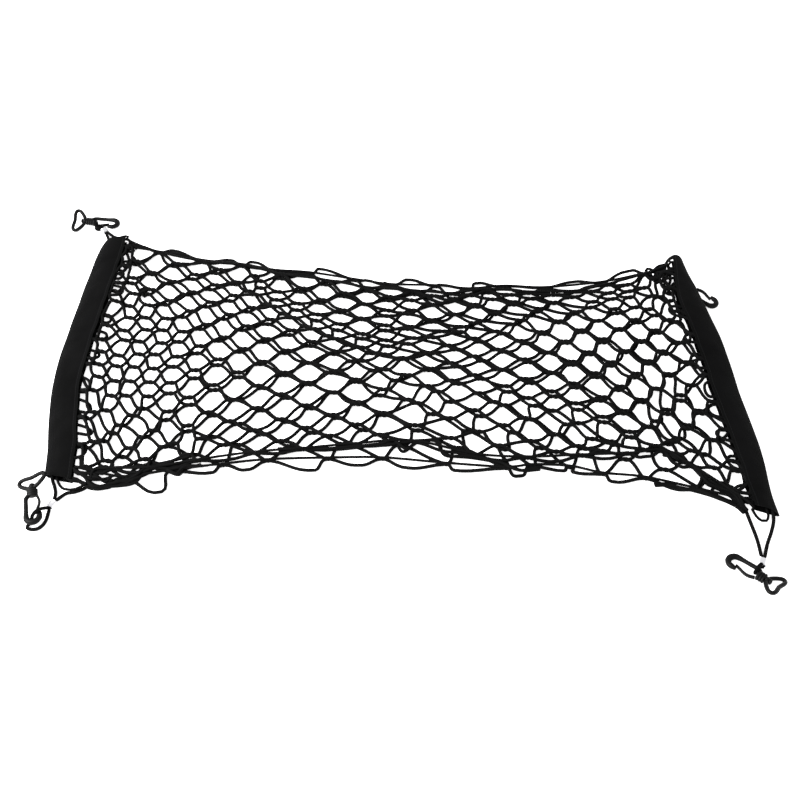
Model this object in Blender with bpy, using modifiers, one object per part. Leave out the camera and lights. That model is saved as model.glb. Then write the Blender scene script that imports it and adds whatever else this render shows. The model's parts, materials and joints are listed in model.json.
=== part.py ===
"""Envelope cargo net for a car boot, lying flat: two stacked layers of knotted elastic mesh, a folded cloth
band over each end, elastic hem cords, and a snap hook with a D-ring on a crimped cord loop at each corner.

Frame: +X along the length, +Y away from the near edge, +Z up, the origin under the middle of the whole.
The tables are in millimetres; every object is built in metres.
"""

import math
from dataclasses import dataclass

import bmesh
import bpy
from mathutils import Matrix, Vector

MM = 0.001
PLAN_SHIFT = (1.5, 16.3)  # brings the middle of the whole to the origin
GAP = 0.3          # air kept between neighbouring pieces
FLOOR_GAP = 0.1    # a cord's underside stays this far above the floor

# ---------------------------------------------------------------- mesh layers
STRAND = 3.0       # height and width of a strand of the mesh
HALF_COLUMNS = 18  # joints along the length, two to a cell
HALF_ROWS = 12     # joints across the width, two to a cell
JOINT_SHARE = 0.30  # part of a half column in which two neighbouring strands run side by side
LOWER_Z = STRAND / 2
LAYER_GAP = 0.6
UPPER_Z = LOWER_Z + STRAND + LAYER_GAP
MOUTH_RISE = 2.1   # the mesh climbs this much to enter the fold
MOUTH_RUN = 26.0   # over this much of its length
MOUTH_LEVEL = 5.0  # and it is level again this far before the mouth

# ---------------------------------------------------------------- cords, crimps
HEM_D = 3.0
HEM_INSET = 4.0    # the hem cord runs this far inside the outermost joints
HEM_GAP = 0.6
HEM_STEPS = 26     # straight stretches of a hem cord along its layer
CORD_D = 3.8
SQUEEZED = 0.76    # a corner cord is this much thinner inside its crimp
SQUEEZE_RUN = (6.0, 10.0)  # and has its own thickness again this far from the middle of the crimp
CORD_STEPS = 2     # bevel steps of a quarter: 8 sides
POINT_SPACING = 6.5  # between two points of a cord
MOST_STEPS = 4     # between two points of its route
CRIMP_LENGTH = 10.0
CRIMP_WALL = 0.8
CRIMP_ROUND = 6    # points on each rounded side of a crimp
CRIMP_SWEEP = math.radians(165.0)  # of a turn, on each rounded side
HEM_LEAVE = (GAP + 0.1, 2.2, 4.0)  # a corner cord starts in line with the hem, this far from its end
RUN_OFFSET = (CORD_D * SQUEEZED + GAP) / 2  # the two runs of a corner cord lie this far each side of the crimp's middle

# ---------------------------------------------------------------- bands
CLOTH = 1.0
STATION = 30.0     # between two sections of the band that passes over the hook
HOOK_LIFT = 13.8   # how far the far end of the right band is held up by the hook beneath it

# ---------------------------------------------------------------- hooks
BODY_WIDTH = 13.6  # between the middles of the spine and of the nose
SPINE_R = 2.4
NOSE_R = 3.2
NOSE_X = 38.5      # middle of the nose's bend, from the face of the collar
TIP_X = 33.0
NOSE_STEPS = 8
COLLAR_LENGTH = 9.5
COLLAR_OVAL = (1.2, 0.82)  # the collar is wider than it is thick
STEM_R = 1.9
HEAD_R = 3.3
STEM_PROFILE = ((-8.2, 0.0), (-8.2, 2.5), (-7.4, HEAD_R), (-5.4, HEAD_R), (-5.4, STEM_R), (0.0, STEM_R))
COLLAR_RIBS = 3
RIB_R = 5.7
GROOVE_R = 5.1
EYE_PROFILE = ((-4.9, 0.0), (-4.9, 3.6), (-4.2, 4.2), (-1.0, 4.2), (-0.4, 3.6), (-0.4, 0.0))
BORE_R = STEM_R + 0.35
BORE_PROFILE = ((-9.0, 0.0), (-9.0, BORE_R), (3.0, BORE_R), (3.0, 0.0))
TURNED_SIDES = 12
BORE_TURN = 11.0   # keeps the bore's facets off the eye's
RING_R = 1.95
RING_HALF = (      # half the D-ring's middle line, from the eye to the slightly dented outer bar
    (-2.7, 0.0),
    (-3.2, 4.8),
    (-6.4, 10.2),
    (-10.4, 15.1),
    (-14.1, 18.0),
    (-17.4, 18.3),
    (-19.9, 15.6),
    (-20.5, 10.8),
    (-19.9, 5.4),
    (-19.3, 0.0),
)
GATE_PIVOT = (11.2, 5.9)
GATE_LINE = ((11.2, 5.9, 0.0), (17.0, 7.6, 0.0), (23.0, 7.2, 0.0), (29.0, 4.9, 0.0), (35.0, 2.9, 0.0))
GATE_SPACING = 2.5
GATE_THICK = 1.4
GATE_DEPTH = 4.4
SPINE_LOOP = (13.5, -BODY_WIDTH / 2)  # where a cord loop goes round the spine
GATE_LOOP = (15.0, 7.1)               # and where one goes round the gate
GATE_SLACK = 1.9   # the loop round the gate is this much wider, so that the gate can bend


@dataclass(frozen=True)
class EdgeRow:
    """One station along the length: the near and the far edge of a mesh layer, in plan."""

    near_x: float
    near_y: float
    far_x: float
    far_y: float


LOWER_EDGES = (
    EdgeRow(-382, -198, -418, 229),
    EdgeRow(-290, -203, -320, 215),
    EdgeRow(-190, -178, -215, 200),
    EdgeRow(-80, -161, -110, 188),
    EdgeRow(30, -155, -5, 174),
    EdgeRow(140, -156, 100, 176),
    EdgeRow(250, -158, 205, 183),
    EdgeRow(357, -168, 305, 194),
    EdgeRow(470, -192, 411, 222),
)
UPPER_EDGES = (
    EdgeRow(-382, -188, -418, 220),
    EdgeRow(-290, -186, -318, 204),
    EdgeRow(-190, -162, -213, 187),
    EdgeRow(-80, -141, -110, 174),
    EdgeRow(30, -119, -5, 160),
    EdgeRow(140, -143, 100, 162),
    EdgeRow(250, -123, 205, 169),
    EdgeRow(357, -112, 305, 181),
    EdgeRow(470, -181, 411, 213),
)
LEFT_BOW = -15.0   # the left end of both layers bows outwards by this much at half width
RIGHT_BOW = 4.0


@dataclass(frozen=True)
class BandRow:
    """One station along a band: the middle of the strip in plan, and the strip's width there."""

    x: float
    y: float
    width: float


BAND_LEFT = (
    BandRow(-386.5, -203, 37),
    BandRow(-394, -165, 38),
    BandRow(-404, -125, 38),
    BandRow(-412, -85, 38),
    BandRow(-418.5, -45, 38),
    BandRow(-421.5, 5, 39),
    BandRow(-422.5, 55, 39),
    BandRow(-423, 105, 39),
    BandRow(-423, 155, 39),
    BandRow(-423, 205, 38),
    BandRow(-422.5, 224, 35),
    BandRow(-421.5, 238.5, 30),
)
BAND_RIGHT = (
    BandRow(483, -205, 24),
    BandRow(477, -180, 29),
    BandRow(472.5, -125, 33),
    BandRow(466, -75, 36),
    BandRow(455.5, -15, 37),
    BandRow(447, 40, 38),
    BandRow(438, 85, 38),
    BandRow(429, 120, 38),
    BandRow(422.5, 150, 36),
    BandRow(418, 180, 30),
    BandRow(415, 206, 22),
    BandRow(414, 224, 17),
    BandRow(413, 240, 15),
)


@dataclass(frozen=True)
class HookRow:
    """How one hook lies: the face of its collar, the end of its nose, and its turn."""

    corner: str
    neck: tuple
    nose: tuple
    roll: float      # degrees about its own length; 180 puts the gate on the other side
    ring_turn: float  # degrees that the D-ring has swivelled on the stem


HOOKS = (
    HookRow("far_left", (-476.0, 274.6, 7.8), (-429.0, 276.4, 3.8), 180.0, 16.0),
    HookRow("near_left", (-409.5, -235.5, 11.6), (-396.0, -281.0, 7.6), 0.0, 22.0),
    HookRow("near_right", (463.0, -300.5, 8.8), (423.5, -272.5, 3.6), 0.0, 20.0),
    HookRow("far_right", (427.0, 190.0, 8.0), (460.0, 157.0, 3.4), 0.0, 0.0),
)


@dataclass(frozen=True)
class CornerRow:
    """One corner cord: its run from the hem to the crimp, the crimp, and its run on into the band."""

    corner: str
    goes_round: str  # the bar of the hook that its loop goes round: spine, gate or nose
    from_hem: tuple
    crimp_in: tuple
    crimp_out: tuple
    to_band: tuple


CORNERS = (
    CornerRow(
        "far_left",
        "gate",
        ((-400.0, 236.0, 4.4), (-407.0, 243.5, 2.8), (-417.5, 246.0, 2.3), (-428.5, 248.5, 2.3)),
        (-441.5, 256.5, 2.8),
        (-447.5, 263.5, 2.8),
        ((-435.6, 248.0, 2.6), (-431.4, 241.5, 3.0), (-430.0, 231.5, 3.3)),
    ),
    CornerRow(
        "near_left",
        "nose",
        ((-351.0, -216.5, 2.3), (-361.0, -227.0, 2.0), (-371.0, -231.5, 2.0)),
        (-382.0, -244.5, 2.8),
        (-385.5, -254.0, 2.8),
        ((-387.0, -234.0, 1.8), (-391.0, -221.0, 2.0), (-395.5, -210.0, 3.2), (-396.5, -197.0, 4.0)),
    ),
    CornerRow(
        "near_right",
        "spine",
        ((456.0, -202.0, 3.6), (460.0, -220.0, 1.8), (464.0, -243.0, 1.7)),
        (466.5, -266.0, 2.8),
        (464.0, -276.0, 2.8),
        ((475.0, -247.0, 1.8), (482.0, -230.0, 2.0), (487.0, -214.0, 3.2), (488.5, -198.0, 4.0)),
    ),
    CornerRow(
        "far_right",
        "spine",
        (
            (397.0, 227.0, 14.5),
            (400.0, 234.5, 9.0),
            (402.0, 230.5, 4.2),
            (403.0, 220.0, 2.0),
            (402.5, 208.0, 2.0),
            (399.0, 197.0, 2.0),
            (397.5, 187.0, 2.0),
        ),
        (403.0, 178.0, 2.8),
        (412.0, 174.5, 2.8),
        (
            (393.5, 182.0, 2.0),
            (392.5, 195.0, 2.0),
            (395.0, 208.0, 2.0),
            (396.0, 222.0, 2.4),
            (397.0, 236.0, 5.0),
            (402.0, 246.5, 8.0),
            (409.5, 250.5, 12.2),
            (415.5, 246.0, 15.0),
            (415.5, 233.5, 16.0),
        ),
    ),
)

# how each upper hem cord goes on past the mesh, into the open end of the nearer band
UPPER_HEM_ENDS = {
    "near_left": (
        (-390.0, -195.0, 4.2),
        (-388.5, -207.0, 3.6),
        (-385.0, -216.0, 2.2),
        (-377.0, -223.0, 1.8),
        (-366.0, -223.0, 2.2),
        (-357.0, -217.5, 5.0),
        (-350.0, -209.0, 8.4),
        (-343.0, -198.0, 9.4),
    ),
    "near_right": (
        (458.0, -191.0, 10.0),
        (462.5, -201.0, 7.6),
        (467.0, -209.0, 4.6),
        (473.0, -213.5, 2.6),
        (479.0, -213.0, 2.4),
        (482.0, -206.0, 3.2),
        (481.0, -196.0, 4.2),
    ),
    "far_left": (
        (-422.5, 231.0, 4.8),
        (-419.0, 241.0, 5.4),
        (-411.5, 244.5, 7.0),
        (-403.2, 241.0, 10.0),
        (-398.5, 230.5, 11.0),
    ),
    "far_right": (
        (399.0, 221.5, 22.6),
        (399.5, 233.0, 18.0),
        (402.5, 240.5, 14.6),
        (406.5, 243.5, 14.4),
        (409.5, 240.5, 15.0),
        (409.5, 231.5, 15.8),
    ),
}
# share of the length that the hem cords cover on the mesh
HEM_SPAN = {"near": (0.053, 0.974), "far": (0.030, 0.968)}
UPPER_HEM_SPAN = {"near": (0.070, 0.966), "far": (0.040, 0.970)}


def smooth(rows, column, share):
    """A column of a table read at share 0 to 1 of its rows, on a smooth curve through them."""
    values = [getattr(row, column) for row in rows]
    place = min(max(share, 0.0), 1.0) * (len(values) - 1)
    left = min(int(place), len(values) - 2)
    t = place - left
    p1, p2 = values[left], values[left + 1]
    p0 = values[left - 1] if left > 0 else 2 * p1 - p2
    p3 = values[left + 2] if left + 2 < len(values) else 2 * p2 - p1
    return p1 + t / 2 * (p2 - p0 + t * (2 * p0 - 5 * p1 + 4 * p2 - p3 + t * (3 * (p1 - p2) + p3 - p0)))


def smooth_route(points, spacing=POINT_SPACING):
    """Points on a smooth curve through the route's own points, about this far apart, in millimetres."""
    last = len(points) - 1
    found = []
    for index in range(last):
        p1, p2 = points[index], points[index + 1]
        p0 = points[index - 1] if index else p1 * 2 - p2
        p3 = points[index + 2] if index + 2 <= last else p2 * 2 - p1
        steps = max(1, min(MOST_STEPS, round((p2 - p1).length / spacing)))
        for step in range(steps):
            t = step / steps
            bend = p0 * 2 - p1 * 5 + p2 * 4 - p3
            end = (p1 - p2) * 3 + p3 - p0
            found.append(p1 + (p2 - p0 + (bend + end * t) * t) * (t / 2))
    found.append(points[last])
    return found


def ramp(value, start, end):
    """0 before start, 1 after end, and a smooth step between."""
    t = min(max((value - start) / (end - start), 0.0), 1.0)
    return t * t * (3 - 2 * t)


def band_lift(y):
    """How high the underside of the right band lies at y, where it passes over the hook."""
    return HOOK_LIFT * ramp(y, -50, 150) * (1 - 0.25 * ramp(y, 215, 255))


def mouth(rows, outward, y):
    """Where the mouth of a band lies at y."""
    rows = sorted(rows, key=lambda row: row.y)
    y = min(max(y, rows[0].y), rows[-1].y)
    for one, two in zip(rows, rows[1:]):
        if y <= two.y:
            t = (y - one.y) / (two.y - one.y)
            width = one.width + (two.width - one.width) * t
            return one.x + (two.x - one.x) * t - outward * width / 2
    return rows[-1].x


def mesh_lift(x, y):
    """How far the mesh climbs above its own level at a place, to enter a band's fold."""
    left = ramp(mouth(BAND_LEFT, -1, y) + MOUTH_RUN - x, 0, MOUTH_RUN - MOUTH_LEVEL)
    right = ramp(x - mouth(BAND_RIGHT, 1, y) + MOUTH_RUN, 0, MOUTH_RUN - MOUTH_LEVEL)
    return MOUTH_RISE * (left + right) + band_lift(y) * ramp(x, 235, 372)


class Workshop:
    """Keeps the collections and the materials, and turns meshes and curves into objects."""

    def __init__(self):
        for old in list(bpy.data.objects):
            bpy.data.objects.remove(old, do_unlink=True)
        self.parts = bpy.data.collections.new("cargo_net")
        self.cutters = bpy.data.collections.new("cutters")
        for collection in (self.parts, self.cutters):
            bpy.context.scene.collection.children.link(collection)
        self.origin = bpy.data.objects.new("net_origin", None)
        self.origin.location = (PLAN_SHIFT[0] * MM, PLAN_SHIFT[1] * MM, 0.0)
        self.parts.objects.link(self.origin)

    def material(self, name, colour, roughness, metallic=0.0):
        """A plain finish for one object."""
        material = bpy.data.materials.new(name)
        material.use_nodes = True
        shader = material.node_tree.nodes["Principled BSDF"]
        shader.inputs["Base Color"].default_value = (*colour, 1.0)
        shader.inputs["Roughness"].default_value = roughness
        shader.inputs["Metallic"].default_value = metallic
        return material

    def add(self, name, data, finish, parent=None):
        """Links an object of this name, with its own material, into the net's collection."""
        thing = bpy.data.objects.new(name, data)
        data.materials.append(self.material(name + "_finish", *finish))
        thing.parent = parent or self.origin
        self.parts.objects.link(thing)
        return thing

    def to_mesh(self, thing):
        """Replaces a curve object by a mesh object of the same shape, its caps welded."""
        bpy.context.view_layer.update()
        found = thing.evaluated_get(bpy.context.evaluated_depsgraph_get())
        mesh = bpy.data.meshes.new_from_object(found)
        work = bmesh.new()
        work.from_mesh(mesh)
        bmesh.ops.remove_doubles(work, verts=work.verts, dist=0.00002)
        bmesh.ops.recalc_face_normals(work, faces=work.faces)
        work.to_mesh(mesh)
        work.free()
        name, parent, place = thing.name, thing.parent, thing.matrix_local.copy()
        curve = thing.data
        bpy.data.objects.remove(thing, do_unlink=True)
        bpy.data.curves.remove(curve)
        made = bpy.data.objects.new(name, mesh)
        made.parent = parent
        made.matrix_local = place
        self.parts.objects.link(made)
        return made

    def as_tool(self, thing):
        """Moves a helper solid to the cutters, where it is left out of the part."""
        self.parts.objects.unlink(thing)
        self.cutters.objects.link(thing)
        thing.hide_render = True
        thing.display_type = "WIRE"
        return thing

    def boolean(self, body, tool, operation):
        """Joins a helper solid to a body, or cuts the body with it."""
        step = body.modifiers.new(operation.lower(), "BOOLEAN")
        step.operation = operation
        step.solver = "EXACT"
        step.object = self.as_tool(tool)
        return body

    def tube(self, name, points, diameter, finish, cyclic=False, parent=None, radii=None):
        """A round cord or bar along points given in millimetres."""
        curve = bpy.data.curves.new(name, "CURVE")
        curve.dimensions = "3D"
        curve.bevel_depth = diameter / 2 * MM
        curve.bevel_resolution = CORD_STEPS
        curve.use_fill_caps = not cyclic
        spline = curve.splines.new("POLY")
        spline.points.add(len(points) - 1)
        spline.use_cyclic_u = cyclic
        for index, (slot, point) in enumerate(zip(spline.points, points)):
            slot.co = (*(Vector(point) * MM), 1.0)
            slot.radius = radii[index] if radii else 1.0
        return self.add(name, curve, finish, parent)

    def turned(self, name, profile, finish, parent):
        """A closed solid turned about local X from (x, radius) points that start and end on the axis."""
        mesh = bpy.data.meshes.new(name)
        work = bmesh.new()
        corners = [work.verts.new((x * MM, r * MM, 0.0)) for x, r in profile]
        for first, second in zip(corners, corners[1:]):
            work.edges.new((first, second))
        bmesh.ops.spin(
            work,
            geom=work.verts[:] + work.edges[:],
            axis=(1, 0, 0),
            cent=(0, 0, 0),
            steps=TURNED_SIDES,
            angle=math.tau,
            use_duplicate=False,
        )
        bmesh.ops.remove_doubles(work, verts=work.verts, dist=0.00002)
        bmesh.ops.recalc_face_normals(work, faces=work.faces)
        work.to_mesh(mesh)
        work.free()
        return self.add(name, mesh, finish, parent)


ELASTIC = ((0.012, 0.012, 0.013), 0.85)
CLOTH_BLACK = ((0.02, 0.02, 0.021), 0.9)
PLASTIC = ((0.05, 0.05, 0.052), 0.45)
METAL = ((0.75, 0.75, 0.76), 0.25, 1.0)


class MeshLayer:
    """One layer of open mesh, with its two edges."""

    def __init__(self, name, rows, level):
        self.name = name
        self.rows = rows
        self.level = level

    def place(self, u, v):
        """The point of the layer at share u of its length and v of its width, in millimetres."""
        near = Vector((smooth(self.rows, "near_x", u), smooth(self.rows, "near_y", u)))
        far = Vector((smooth(self.rows, "far_x", u), smooth(self.rows, "far_y", u)))
        flat = near.lerp(far, v)
        flat.x += 4 * v * (1 - v) * (LEFT_BOW * (1 - u) ** 2 + RIGHT_BOW * u * u)
        return Vector((flat.x, flat.y, self.level + mesh_lift(flat.x, flat.y)))

    def joint_end(self, a, b, side):
        """One end of joint a along, b across: side -1 is its left end, 1 its right."""
        u = (a + side * JOINT_SHARE / 2) / HALF_COLUMNS
        return self.place(min(max(u, 0.0), 1.0), b / HALF_ROWS)

    def cells(self):
        """The outline of each cell, as keys of joint ends: (a, b, side), side 0 at the end bars."""
        for a in range(HALF_COLUMNS + 1):
            for b in range(1, HALF_ROWS):
                if (a + b) % 2 == 0:
                    continue
                left = [(a - 1, b, 1)] if a > 0 else []
                right = [(a + 1, b, -1)] if a < HALF_COLUMNS else []
                start = -1 if a > 0 else 0
                end = 1 if a < HALF_COLUMNS else 0
                top = [(a, b + 1, start), (a, b + 1, end)]
                bottom = [(a, b - 1, end), (a, b - 1, start)]
                bar = [(a, b + half, 0) for half in (-0.5, 0, 0.5)]
                if a == 0:
                    left = bar
                if a == HALF_COLUMNS:
                    right = bar[::-1]
                yield left + top + right + bottom

    def build(self, shop):
        """The cells as one surface, each edge thickened to a strand by the Wireframe modifier."""
        mesh = bpy.data.meshes.new(self.name)
        work = bmesh.new()
        known = {}
        for outline in self.cells():
            for key in outline:
                if key not in known:
                    known[key] = work.verts.new(self.joint_end(*key) * MM)
            work.faces.new([known[key] for key in reversed(outline)])
        bmesh.ops.recalc_face_normals(work, faces=work.faces)
        work.to_mesh(mesh)
        work.free()
        layer = shop.add(self.name, mesh, ELASTIC)
        strands = layer.modifiers.new("strands", "WIREFRAME")
        strands.thickness = STRAND * MM
        strands.use_boundary = True
        strands.use_even_offset = True
        strands.use_relative_offset = False
        strands.use_replace = True
        return layer

    def hem(self, far, first, last, steps):
        """Points of the cord that lies on the edge of the layer, from share first to last."""
        found = []
        for step in range(steps + 1):
            u = first + (last - first) * step / steps
            point = self.place(u, 1.0 if far else 0.0)
            point.y += -HEM_INSET if far else HEM_INSET
            point.z = self.level + STRAND / 2 + HEM_GAP + HEM_D / 2 + mesh_lift(point.x, point.y)
            found.append(point)
        return found


class Band:
    """A strip of cloth folded over the ends of both layers, its mouth towards the mesh."""

    # share of the width from the mouth to the fold, and height of the middle of the cloth
    SECTION = (
        (0.00, 10.0),
        (0.50, 10.0),
        (0.68, 8.4),
        (0.86, 6.0),
        (0.97, 4.2),
        (1.00, 2.8),
        (0.95, 1.1),
        (0.88, 0.5),
        (0.00, 0.5),
    )

    def __init__(self, name, rows, outward):
        self.name = name
        self.rows = rows
        self.outward = outward  # -1 where the fold is on the left, 1 on the right

    def stations(self):
        """The rows, with further ones between them where the strip passes over the hook."""
        for one, two in zip(self.rows, self.rows[1:]):
            steps = max(1, round((two.y - one.y) / STATION)) if self.outward > 0 else 1
            for step in range(steps):
                t = step / steps
                yield BandRow(
                    one.x + (two.x - one.x) * t,
                    one.y + (two.y - one.y) * t,
                    one.width + (two.width - one.width) * t,
                )
        yield self.rows[-1]

    def build(self, shop):
        """The folded strip as an open surface, made solid by its cloth's thickness."""
        mesh = bpy.data.meshes.new(self.name)
        work = bmesh.new()
        loops = []
        for row in self.stations():
            lift = band_lift(row.y) if self.outward > 0 else 0.0
            loop = []
            for share, height in self.SECTION:
                across = self.outward * (share - 0.5) * row.width
                point = Vector((row.x + across, row.y, height + lift))
                loop.append(work.verts.new(point * MM))
            loops.append(loop)
        for one, two in zip(loops, loops[1:]):
            for k in range(len(one) - 1):
                work.faces.new((one[k], one[k + 1], two[k + 1], two[k]))
        bmesh.ops.recalc_face_normals(work, faces=work.faces)
        work.to_mesh(mesh)
        work.free()
        band = shop.add(self.name, mesh, CLOTH_BLACK)
        cloth = band.modifiers.new("cloth", "SOLIDIFY")
        cloth.thickness = CLOTH * MM
        cloth.offset = 0.0
        cloth.use_even_offset = True
        return band


class Hook:
    """A moulded snap hook: body with collar and stem, its springy gate, and the D-ring on the stem."""

    def __init__(self, row):
        self.row = row
        neck, nose = Vector(row.neck), Vector(row.nose)
        along = (nose - neck).normalized()
        side = Vector((0, 0, 1)).cross(along).normalized()
        up = along.cross(side)
        turn = Matrix((along, side, up)).transposed().to_4x4()
        roll = Matrix.Rotation(math.radians(row.roll), 4, "X")
        self.frame = Matrix.Translation(neck) @ turn @ roll

    def at(self, x, y, z=0.0):
        """A point of the hook's own frame, in the frame of the net, in millimetres."""
        return self.frame @ Vector((x, y, z))

    def body_route(self):
        """The middle of the bar from the collar along the spine, round the nose, to its tip, with radii."""
        half = BODY_WIDTH / 2
        route = [(x, y, SPINE_R) for x, y in ((6.0, -3.0), (9.5, -5.6), (13.0, -half), (30.0, -half))]
        for step in range(NOSE_STEPS + 1):
            turn = math.pi * (step / NOSE_STEPS - 0.5)
            swell = SPINE_R + (NOSE_R - SPINE_R) * math.sin(math.pi * min(step + 2, NOSE_STEPS) / 10)
            route.append((NOSE_X + half * math.cos(turn), half * math.sin(turn), swell))
        route.append((TIP_X, half + 0.2, SPINE_R * 0.9))
        return route

    def build(self, shop):
        """All three pieces, under an empty that stands at the face of the collar."""
        corner = self.row.corner
        stand = bpy.data.objects.new("stand_" + corner, None)
        place = self.frame.copy()
        place.translation = self.frame.translation * MM
        stand.parent = shop.origin
        stand.matrix_local = place
        shop.parts.objects.link(stand)

        route = self.body_route()
        body = shop.tube(
            "hook_" + corner,
            [(x, y, 0.0) for x, y, _ in route],
            2.0,
            PLASTIC,
            parent=stand,
            radii=[radius for _, _, radius in route],
        )
        body = shop.to_mesh(body)
        profile = [*STEM_PROFILE]
        for step in range(COLLAR_RIBS):
            start = step * COLLAR_LENGTH / COLLAR_RIBS
            profile += [(start, GROOVE_R), (start + 0.7, RIB_R), (start + 2.2, RIB_R)]
        profile += [(COLLAR_LENGTH, GROOVE_R), (COLLAR_LENGTH, 0.0)]
        collar = shop.turned("collar_" + corner, profile, PLASTIC, stand)
        for vert in collar.data.vertices:
            if math.hypot(vert.co.y, vert.co.z) > (HEAD_R + 0.5) * MM:
                vert.co.y *= COLLAR_OVAL[0]
                vert.co.z *= COLLAR_OVAL[1]
        shop.boolean(body, collar, "UNION")
        self.build_gate(shop, stand)
        self.build_ring(shop, stand)

    def build_gate(self, shop, stand):
        """The thin gate, its origin on its own bending axis at the collar."""
        pivot = Vector((*GATE_PIVOT, 0.0))
        strip = smooth_route([Vector(point) - pivot for point in GATE_LINE], GATE_SPACING)
        mesh = bpy.data.meshes.new("gate_" + self.row.corner)
        work = bmesh.new()
        low = [work.verts.new((p - Vector((0, 0, GATE_DEPTH / 2))) * MM) for p in strip]
        high = [work.verts.new((p + Vector((0, 0, GATE_DEPTH / 2))) * MM) for p in strip]
        for k in range(len(strip) - 1):
            work.faces.new((low[k], low[k + 1], high[k + 1], high[k]))
        work.to_mesh(mesh)
        work.free()
        gate = shop.add("gate_" + self.row.corner, mesh, PLASTIC, stand)
        gate.location = pivot * MM
        leaf = gate.modifiers.new("leaf", "SOLIDIFY")
        leaf.thickness = GATE_THICK * MM
        leaf.offset = 0.0

    def build_ring(self, shop, stand):
        """The wide D-ring with the eye that turns on the stem."""
        outline = [*RING_HALF, *((x, -y) for x, y in reversed(RING_HALF[1:-1]))]
        corner = self.row.corner
        ring = shop.tube(
            "d_ring_" + corner,
            [(x, y, 0.0) for x, y in outline],
            2 * RING_R,
            PLASTIC,
            cyclic=True,
            parent=stand,
        )
        ring = shop.to_mesh(ring)
        eye = shop.turned("eye_" + corner, EYE_PROFILE, PLASTIC, stand)
        bore = shop.turned("bore_" + corner, BORE_PROFILE, PLASTIC, stand)
        shop.boolean(ring, eye, "UNION")
        shop.boolean(ring, bore, "DIFFERENCE")
        for piece, offset in ((ring, 0.0), (eye, 0.0), (bore, BORE_TURN)):
            piece.matrix_local = Matrix.Rotation(math.radians(self.row.ring_turn + offset), 4, "X")


def loop_round_bar(hook, place, half_wide, half_high, crimp_end):
    """A cord loop's points from above a bar of the hook, down through the bite and back beneath the bar.

    place is the middle of the bar in the hook's frame; half_wide and half_high are its half sizes.
    """
    centre = hook.at(*place)
    inner = hook.at(place[0], 0.0) - centre
    inner.z = 0.0
    inner.normalize()
    wide = half_wide + GAP + 0.15 + CORD_D / 2
    high = half_high + GAP + 0.15 + CORD_D / 2
    low = max(CORD_D / 2 + FLOOR_GAP, centre.z - high)
    start = (centre - inner * (wide + 1.0)).lerp(crimp_end, 0.35)
    return [
        Vector((*start.xy, max(start.z + 1.2, low + CORD_D + 1.2))),
        Vector((*(centre - inner * 0.5 * wide).xy, centre.z + high)),
        Vector((*(centre + inner * 0.45 * wide).xy, centre.z + high)),
        Vector((*(centre + inner * (wide + 0.4)).xy, centre.z + 0.3)),
        Vector((*(centre + inner * 0.6 * wide).xy, low)),
        Vector((*(centre - inner * 0.5 * wide).xy, low)),
        Vector((*start.xy, low)),
    ]


def loop_round_nose(hook):
    """A wide cord loop's points: round the end of the nose, beneath it, up through the bite, over the tip."""
    local = (
        (34.0, 16.5, -5.8),
        (44.0, 13.5, -5.5),
        (51.0, 8.5, -5.4),
        (53.8, 2.0, -5.4),
        (52.8, -4.0, -5.4),
        (49.8, -8.4, -5.5),
        (46.5, -7.7, -5.6),
        (43.3, -4.6, -5.6),
        (40.0, -2.2, -4.0),
        (38.8, -1.0, 0.2),
        (37.4, 2.0, 3.6),
        (34.6, 7.0, 4.9),
        (29.5, 13.5, 0.0),
    )
    return [hook.at(*point) for point in local]


def crimp_runs(row, beside):
    """Both runs of a cord through its crimp, each four points in line: first the run beside a point."""
    start, end = Vector(row.crimp_in), Vector(row.crimp_out)
    along = (end - start).normalized()
    side = along.cross(Vector((0, 0, 1))).normalized() * RUN_OFFSET
    if (Vector(beside) - start).dot(side) < 0:
        side.negate()
    line = (start - along * 2.0, start, end, end + along * 2.0)
    return [point + side for point in line], [point - side for point in line]


def corner_route(row, hook, hem_end, hem_next):
    """The whole corner cord: from the end of the lower hem, through the crimp and the hook, to the band."""
    first, second = crimp_runs(row, row.from_hem[-1])
    crimp_end = Vector(row.crimp_out)
    if row.goes_round == "nose":
        loop = loop_round_nose(hook)
    elif row.goes_round == "gate":
        loop = loop_round_bar(hook, GATE_LOOP, GATE_THICK / 2 + GATE_SLACK, GATE_DEPTH / 2, crimp_end)
    else:
        loop = loop_round_bar(hook, SPINE_LOOP, SPINE_R, SPINE_R, crimp_end)
    away = (hem_end - hem_next).normalized()
    route = [hem_end + away * reach for reach in HEM_LEAVE]
    route += [Vector(point) for point in row.from_hem]
    route += [*first, *loop, *reversed(second)]
    route += [Vector(point) for point in row.to_band]
    return route


def squeezed(row, points):
    """The share of its own thickness that a corner cord has at each point, thinner inside the crimp."""
    middle = (Vector(row.crimp_in) + Vector(row.crimp_out)) / 2
    return [SQUEEZED + (1 - SQUEEZED) * ramp((point - middle).length, *SQUEEZE_RUN) for point in points]


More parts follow.
